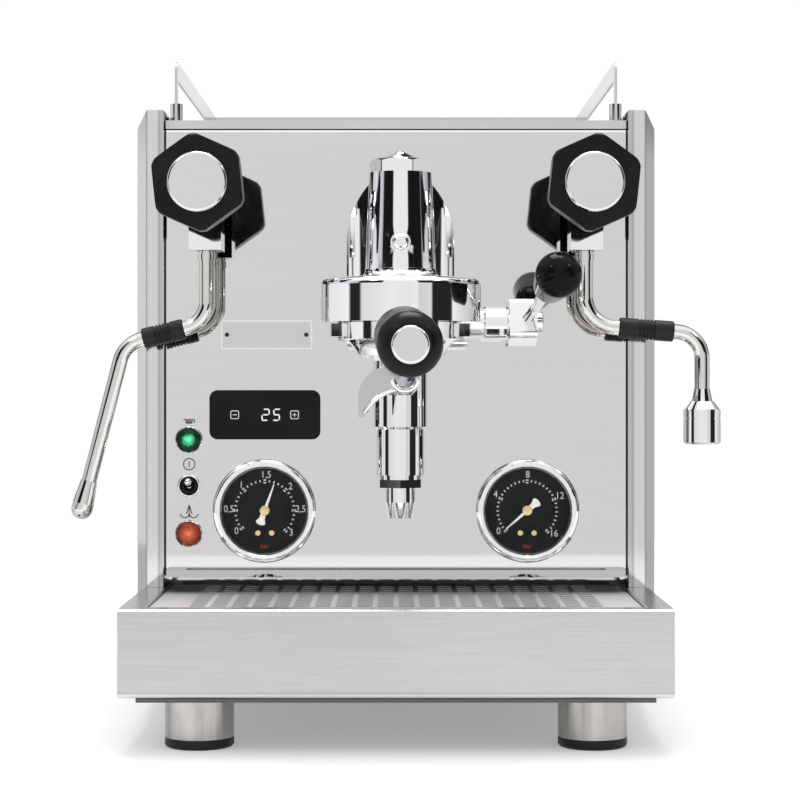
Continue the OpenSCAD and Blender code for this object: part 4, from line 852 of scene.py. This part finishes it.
def stroke(x1, z1, x2, z2, width):
    """A painted bar from one point to another, as seen from the front."""
    long = math.hypot(x2 - x1, z2 - z1)
    return bar((x1 + x2) / 2, sign_y, (z1 + z2) / 2, width, long, math.atan2(x2 - x1, z2 - z1))


def sign(name, z, lines, width):
    """One sign of strokes, its lines given as (x, z) points about its own middle."""
    here = [[(lamp_x + a, z + b) for a, b in line] for line in lines]
    joined(name, [stroke(*a, *b, width) for line in here for a, b in zip(line, line[1:])], print_grey)


def arc(x, z, r, first, last, steps):
    """Points along a circle between two angles, clockwise from the top."""
    return [on_circle(x, z, r, first + (last - first) * i / steps) for i in range(steps + 1)]


sign("cup_sign", lamp_high[2] + 0.0012, [
    [(-0.0033, 0.0024), (0.0033, 0.0024)], [(-0.0024, 0.0016), (0.0022, 0.0016)],
    [(-0.0022, 0.0009), (0.0020, 0.0009)], [(-0.0020, 0.0003), (0.0018, 0.0003)],
    [(0.0025, 0.0017), (0.0034, 0.0014), (0.0028, 0.0006)]], 0.00065)
sign("switch_sign", switch_z + 0.0125, [
    arc(0, 0, 0.0033, 0, 360, 28), [(0, 0.0017), (0, -0.0017)]], 0.0007)
sign("steam_sign", lamp_low[2] + 0.0205, [
    [(-0.0016, -0.0012), (0, 0.0040), (0.0016, -0.0012)], [(0, 0.0032), (0, -0.0030)],
    arc(-0.0026, -0.0008, 0.0026, 265, 100, 9), arc(0.0026, -0.0008, 0.0026, 260, 95, 9)], 0.0007)

# %% [markdown]
# The spout's lower edge and the lip of its front mouth are rolled into a bead, as on any poured
# gutter, so that no drop runs back along the wall. The bead is a round wire laid along the edge.
# It is swept by a curve with a round section and then turned into a mesh.

# %% Rolled bead of the spout
BOSS_UP, GUTTER_OUT = 0.0276, 0.0093
spout_x = middle_of("infusion_chamber")[0]
boss_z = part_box("spout")[0][2] + BOSS_UP
gutter_face = (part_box("filter_basket")[0][1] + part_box("filter_basket")[1][1]) / 2 - GUTTER_OUT


def bead(points, y, radius):
    """A round bead along points given as (x, z), with closed ends."""
    curve = bpy.data.curves.new("bead", "CURVE")
    curve.dimensions = "3D"
    curve.bevel_depth = radius
    curve.bevel_resolution = 4
    curve.use_fill_caps = True
    spline = curve.splines.new("POLY")
    spline.points.add(len(points) - 1)
    for point, (x, z) in zip(spline.points, points):
        point.co = (x, y, z, 1)
    piece = bpy.data.objects.new("bead", curve)
    bpy.context.collection.objects.link(piece)
    piece = settled(piece)
    bpy.ops.object.shade_smooth_by_angle(angle=0.9)
    return piece


under = arc(spout_x + 0.003, boss_z - 0.0385, 0.0254 + 0.0011, 300, 366, 24)
lip = arc(spout_x + 0.0025, boss_z - 0.0065, 0.00665, 268, 92, 24)
print("bead from", under[0], "to", under[-1], "gutter face", gutter_face)
beads = [bead(under, gutter_face + 0.0002, 0.0014), bead(lip, gutter_face - 0.0028, 0.0017)]
joined("spout_bead", beads, chrome, "portafilter")
